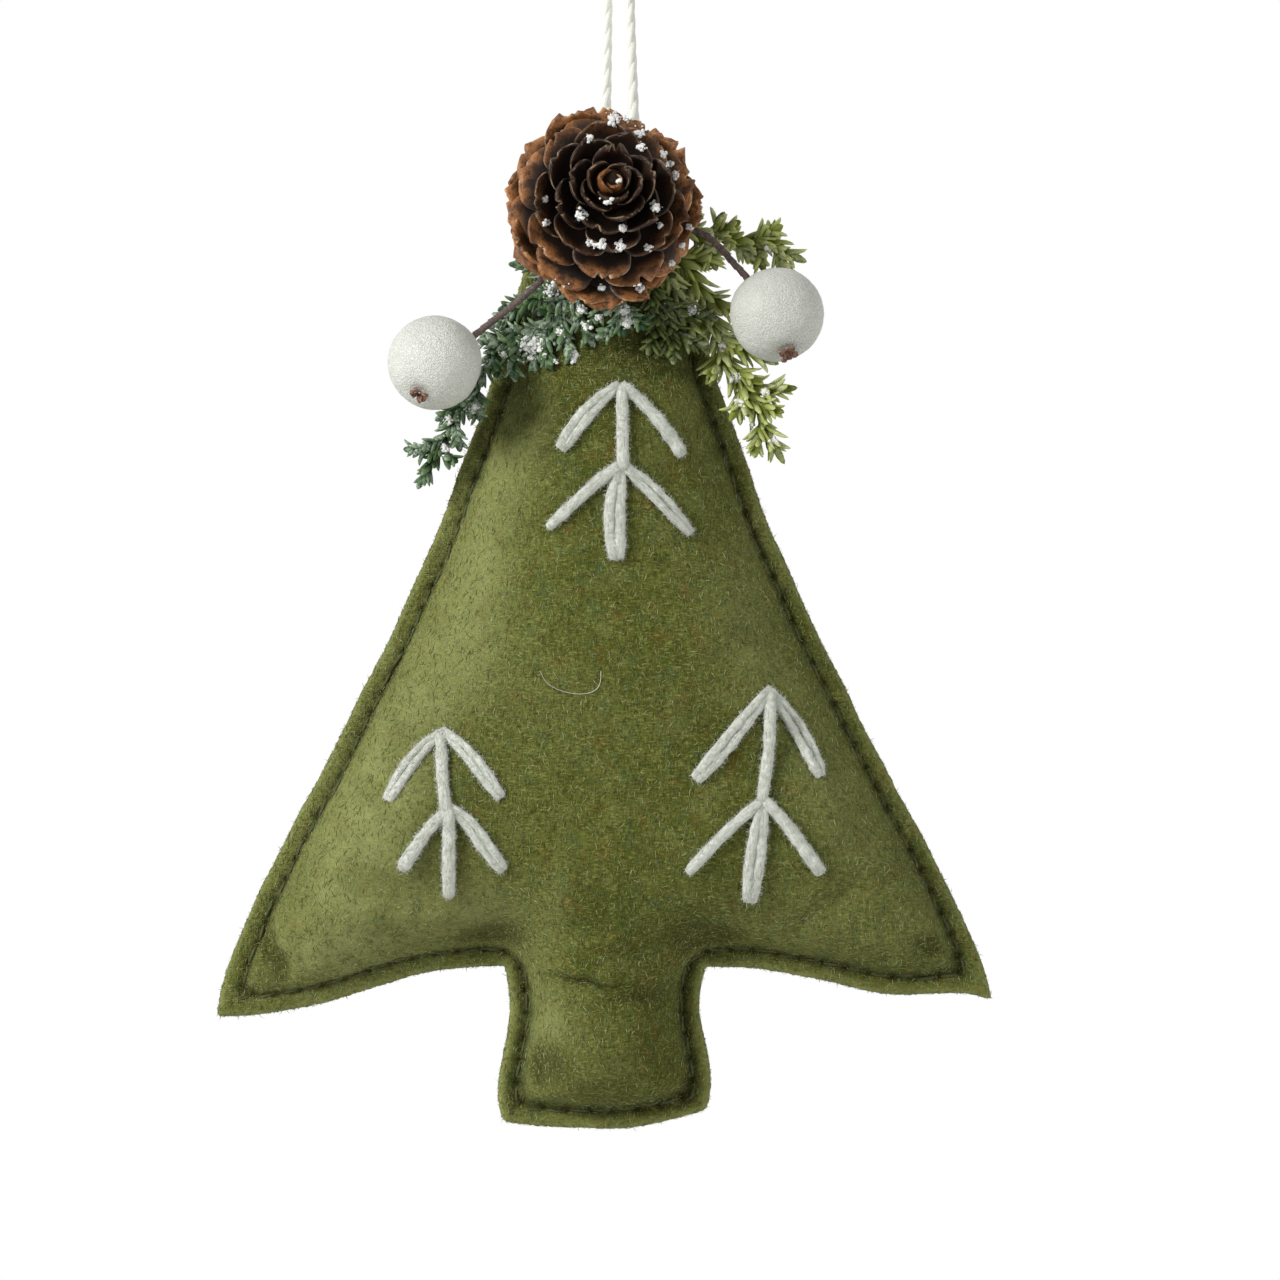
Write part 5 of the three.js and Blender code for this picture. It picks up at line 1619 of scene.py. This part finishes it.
def twigs_of(route, side_tips, rng):
    """The main twig, short side twigs on alternate sides of it, and those that reach to given ends."""
    line = smooth_route(np.array(route) * MM, twig_step)[0]
    ahead = frames_along(line)[0]
    twigs = [(line, 1.0)]
    for number, at in enumerate(np.arange(0.16, 0.93, 2.6 * MM / run_of(line)[-1])):
        k = int(at * (len(line) - 1))
        aside = unit(np.cross(ahead[k], to_viewer)) * (1 if number % 2 else -1)
        way = ahead[k] * 0.9 + aside * rng.uniform(0.5, 0.75) + np.array((0, rng.uniform(-0.5, 0.05), 0))
        reach = rng.uniform(2.2, 3.4) * MM
        twigs.append((line[k] + unit(way) * np.linspace(0, reach, 9)[:, None], 0.85))
    for side_tip in np.array(side_tips) * MM:
        k = np.argmin(np.linalg.norm(line - side_tip, axis=1) + 0.75 * run_of(line))
        bow = (line[k] + side_tip) / 2 + ahead[k] * 0.6 * MM
        twigs.append((smooth_route([line[k], bow, side_tip], twig_step)[0], 0.9))
    return twigs


def sprig_piece(name, plan, rng):
    route, long, width, tint, side_tips = plan
    apart, least_lean, most_lean = (0.6, 0.3, 0.68) if tint == "lime" else (0.58, 0.35, 0.75)
    lots = []  # of each rod and needle: points, faces, how near each point is to the tip, and its tone
    for twig, size in twigs_of(route, side_tips, rng):
        rod, rod_faces, _ = tube(twig, np.linspace(0.36, 0.22, len(twig)) * MM * size, 6)
        lots.append((rod, rod_faces, [0] * len(rod), 0.3))
        ahead, run = frames_along(twig)[0], run_of(twig)
        first = (0.10 if size == 1 else 0.15) * run[-1]
        for number, at in enumerate(np.arange(first, run[-1], apart * MM)):
            k = int(np.searchsorted(run, at).clip(0, len(twig) - 1))
            aside = unit(np.cross(ahead[k], to_viewer))
            for turn in (number * 2.4, number * 2.4 + math.pi):
                ring = aside * math.cos(turn) + to_viewer * math.sin(turn) * 0.85
                ring[1] = min(ring[1], 0.12)
                way = unit(ahead[k] + ring * rng.uniform(least_lean, most_lean))
                length = long * MM * size * rng.uniform(0.65, 1.05) * (1 - 0.25 * at / run[-1])
                facing = unit(np.cross(way, np.cross(ring, way)) + 1e-6)
                blade = needle(twig[k], way, facing, length, width * MM * rng.uniform(0.8, 1.1))
                lots.append((*blade, needle_shares, rng.random()))
        way = unit(twig[-1] - twig[-3])
        facing = np.array((0.1, -1, 0.1))
        blade = needle(twig[-1] - way * 0.4 * MM, way, facing, long * MM * 0.8 * size, width * MM)
        lots.append((*blade, [0] * len(blade[0]), rng.random()))
    piece = piece_from(f"cedar_{name}", *joined(lots))
    store(piece, "tone", np.concatenate([[lot[3]] * len(lot[0]) for lot in lots]))
    store(piece, "tip", np.concatenate([lot[2] for lot in lots]))
    return piece


# %% [markdown]
# The greens come in two colours of plastic: dark at the left and lime at the right. The sprig at the right
# of the middle is lime too, drawn in olive, a darker copy that is painted shade. All are darker at the root
# of a needle and lighter at its end, and the dark ones are frosted the most.

# %% Greens
def cedar(name, deep, middle, light, frosted, frost_colour):
    green = Finish(name, 0.5, Specular_IOR_Level=0.2, Subsurface_Weight=0.1, Subsurface_Scale=0.6 * MM)
    crystals = green.noise(0.5, 3, 0.8)
    colour = green.mix(green.between(green.attribute("tone"), 0, 1), deep, middle)
    colour = green.tinted(colour, green.attribute("tip"), 0.2, 1, 0.8, light)
    patches = green.between(green.noise(3.5, 2), 0.42, 0.6, 0, frosted)
    frosting = green.times(patches, green.between(crystals, 0.4, 0.57))
    return green.done(green.mix(frosting, colour, frost_colour), green.bump(crystals, 0.08))


greens = {
    "dark": cedar(
        "cedar_dark_green", (0.010, 0.032, 0.012), (0.04, 0.09, 0.034), (0.13, 0.21, 0.085),
        0.7, (0.46, 0.55, 0.43)
    ),
    # Olive is the lime plastic made darker: painted shade.
    "olive": cedar(
        "cedar_lime_green_shaded", (0.018, 0.03, 0.005), (0.055, 0.08, 0.012), (0.16, 0.2, 0.05),
        0.35, (0.5, 0.56, 0.35)
    ),
    "lime": cedar(
        "cedar_lime_green", (0.085, 0.115, 0.014), (0.25, 0.3, 0.045), (0.52, 0.56, 0.2),
        0.55, (0.62, 0.66, 0.44)
    ),
}
sprig_rng = np.random.default_rng(33)
sprig_pieces = []
for name, plan in sprig_plans.items():
    sprig, tint = sprig_piece(name, plan, sprig_rng), plan[3]
    slot = "dark_greens" if tint == "dark" else "lime_greens"
    sprig_pieces.append(hand_over(sprig, greens[tint], slot, name))

# %% [markdown]
# Artificial snow clings in crumbs to the cone and the greens. A crumb is a small ball of few faces, pushed
# out of round. Each cluster is named by its pixel, and rays find what it clings to.

# %% Snow crumbs
snow_clusters = [  # across and down in pixels, how far it spreads, and how many crumbs, in fives
    (613, 119, 9, 10), (626, 116, 8, 9), (639, 133, 6, 5), (641, 147, 5, 4), (663, 155, 5, 4),
    (670, 164, 5, 4), (675, 175, 5, 4), (581, 215, 8, 6), (545, 199, 4, 3), (545, 224, 4, 3),
    (590, 244, 6, 5), (601, 245, 6, 5), (620, 246, 7, 6), (655, 207, 7, 6), (660, 225, 4, 3),
    (622, 228, 4, 3), (691, 228, 4, 3), (681, 246, 4, 3), (648, 249, 5, 4), (672, 264, 4, 3),
    (640, 288, 6, 5), (602, 288, 4, 3), (617, 181, 4, 4), (609, 201, 4, 3), (588, 138, 4, 3),
    (531, 347, 17, 36), (551, 290, 12, 16), (575, 355, 6, 6), (582, 309, 7, 9), (594, 355, 6, 6),
    (559, 360, 6, 7), (475, 408, 8, 7), (625, 311, 8, 12), (628, 323, 8, 10), (585, 325, 6, 6),
    (598, 318, 5, 5), (560, 330, 6, 5), (505, 355, 5, 4), (512, 392, 6, 6), (450, 420, 6, 5),
    (446, 448, 9, 9), (693, 310, 8, 8), (735, 378, 8, 8), (740, 402, 5, 5), (722, 346, 5, 4),
    (752, 425, 5, 4), (775, 440, 6, 5), (764, 392, 5, 4), (577, 361, 11, 14), (768, 250, 5, 4),
    (712, 236, 4, 3),
]
let_go()
bpy.ops.mesh.primitive_ico_sphere_add(subdivisions=1, radius=1, location=(0, 0, 0))
crumb_shape, crumb_faces = shape_of(bpy.context.object)
snow_rng = np.random.default_rng(90)
clings_to = surface_tree(cone, *sprig_pieces)
grains_of_snow = []
for x, y, spread, count in snow_clusters:
    for number in range(count * 5):
        loose = number % 5 == 0
        px, py = snow_rng.normal((x, y), spread * (0.55 if loose else 0.3))
        place, normal = through_pixel(px, py, clings_to)
        size = snow_rng.uniform(0.07, 0.16) if loose else snow_rng.uniform(0.15, 0.33)
        if place is not None:
            grains_of_snow.append((np.array(place), np.array(normal), size * MM))
for sprig in sprig_pieces:
    dusted = 560 if "left" in sprig.name else 200 if "lower" in sprig.name else 90
    for place, normal in zip(*spots_on(sprig, dusted, snow_rng, lambda middle, way: way[:, 1] < 0.2)):
        grains_of_snow.append((place, normal, snow_rng.uniform(0.05, 0.13) * MM))
crumbs = []
for place, normal, size in grains_of_snow:
    shape = crumb_shape * snow_rng.uniform(0.7, 1.3, 3) + snow_rng.normal(0, 0.13, crumb_shape.shape)
    crumbs.append((place + normal * size * 0.5 + shape * size, crumb_faces))
snow = piece_from("snow_crumbs", *joined(crumbs))
powder = Finish("snow_powder", 0.8)
powder_grain = powder.noise(0.2, 2, 0.8)
powder.done(
    powder.mix(powder.between(powder_grain, 0.3, 0.7), (0.68, 0.67, 0.63), (0.88, 0.88, 0.86)),
    powder.bump(powder_grain, 0.1),
)
hand_over(snow, powder.material, "berry_frost")

# %% [markdown]
# Hot glue sets as a milky, slightly glossy lump with soft folds. A copy of the CAD pad is cut into even
# cells by a remesh and then pushed in and out by slow noise, so that its sharp drum shape is lost.

# %% Glue
glue_lump = copy_of(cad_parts["glue_pad"], "hot_glue_lump")
glue_lump.parent = None
settle_place(glue_lump)
apply_modifier(glue_lump, "REMESH", mode="VOXEL", voxel_size=0.35 * MM)
apply_modifier(glue_lump, "SMOOTH", factor=0.5, iterations=30)
glue_points = points_of(glue_lump.data)
glue_middle = (glue_points.min(0) + glue_points.max(0)) / 2
glue_out = unit((glue_points - glue_middle) * (1, 0.25, 1), least=1e-9)
glue_folds = 0.7 * soft_noise(glue_points, 3.2, 80) + 0.3 * soft_noise(glue_points, 1.3, 81) - 0.7
set_points(glue_lump.data, glue_points + glue_out * glue_folds[:, None] * MM)
glue_lump.data.shade_smooth()
glue = Finish("hot_glue", 0.35, Subsurface_Weight=0.3, Subsurface_Scale=1 * MM)
glue_cloud = glue.noise(1.5, 3)
glue.done(glue.mix(glue_cloud, (0.40, 0.39, 0.29), (0.56, 0.55, 0.44)), glue.bump(glue_cloud, 0.3))
hand_over(glue_lump, glue.material, "hot_glue", "glue_pad")
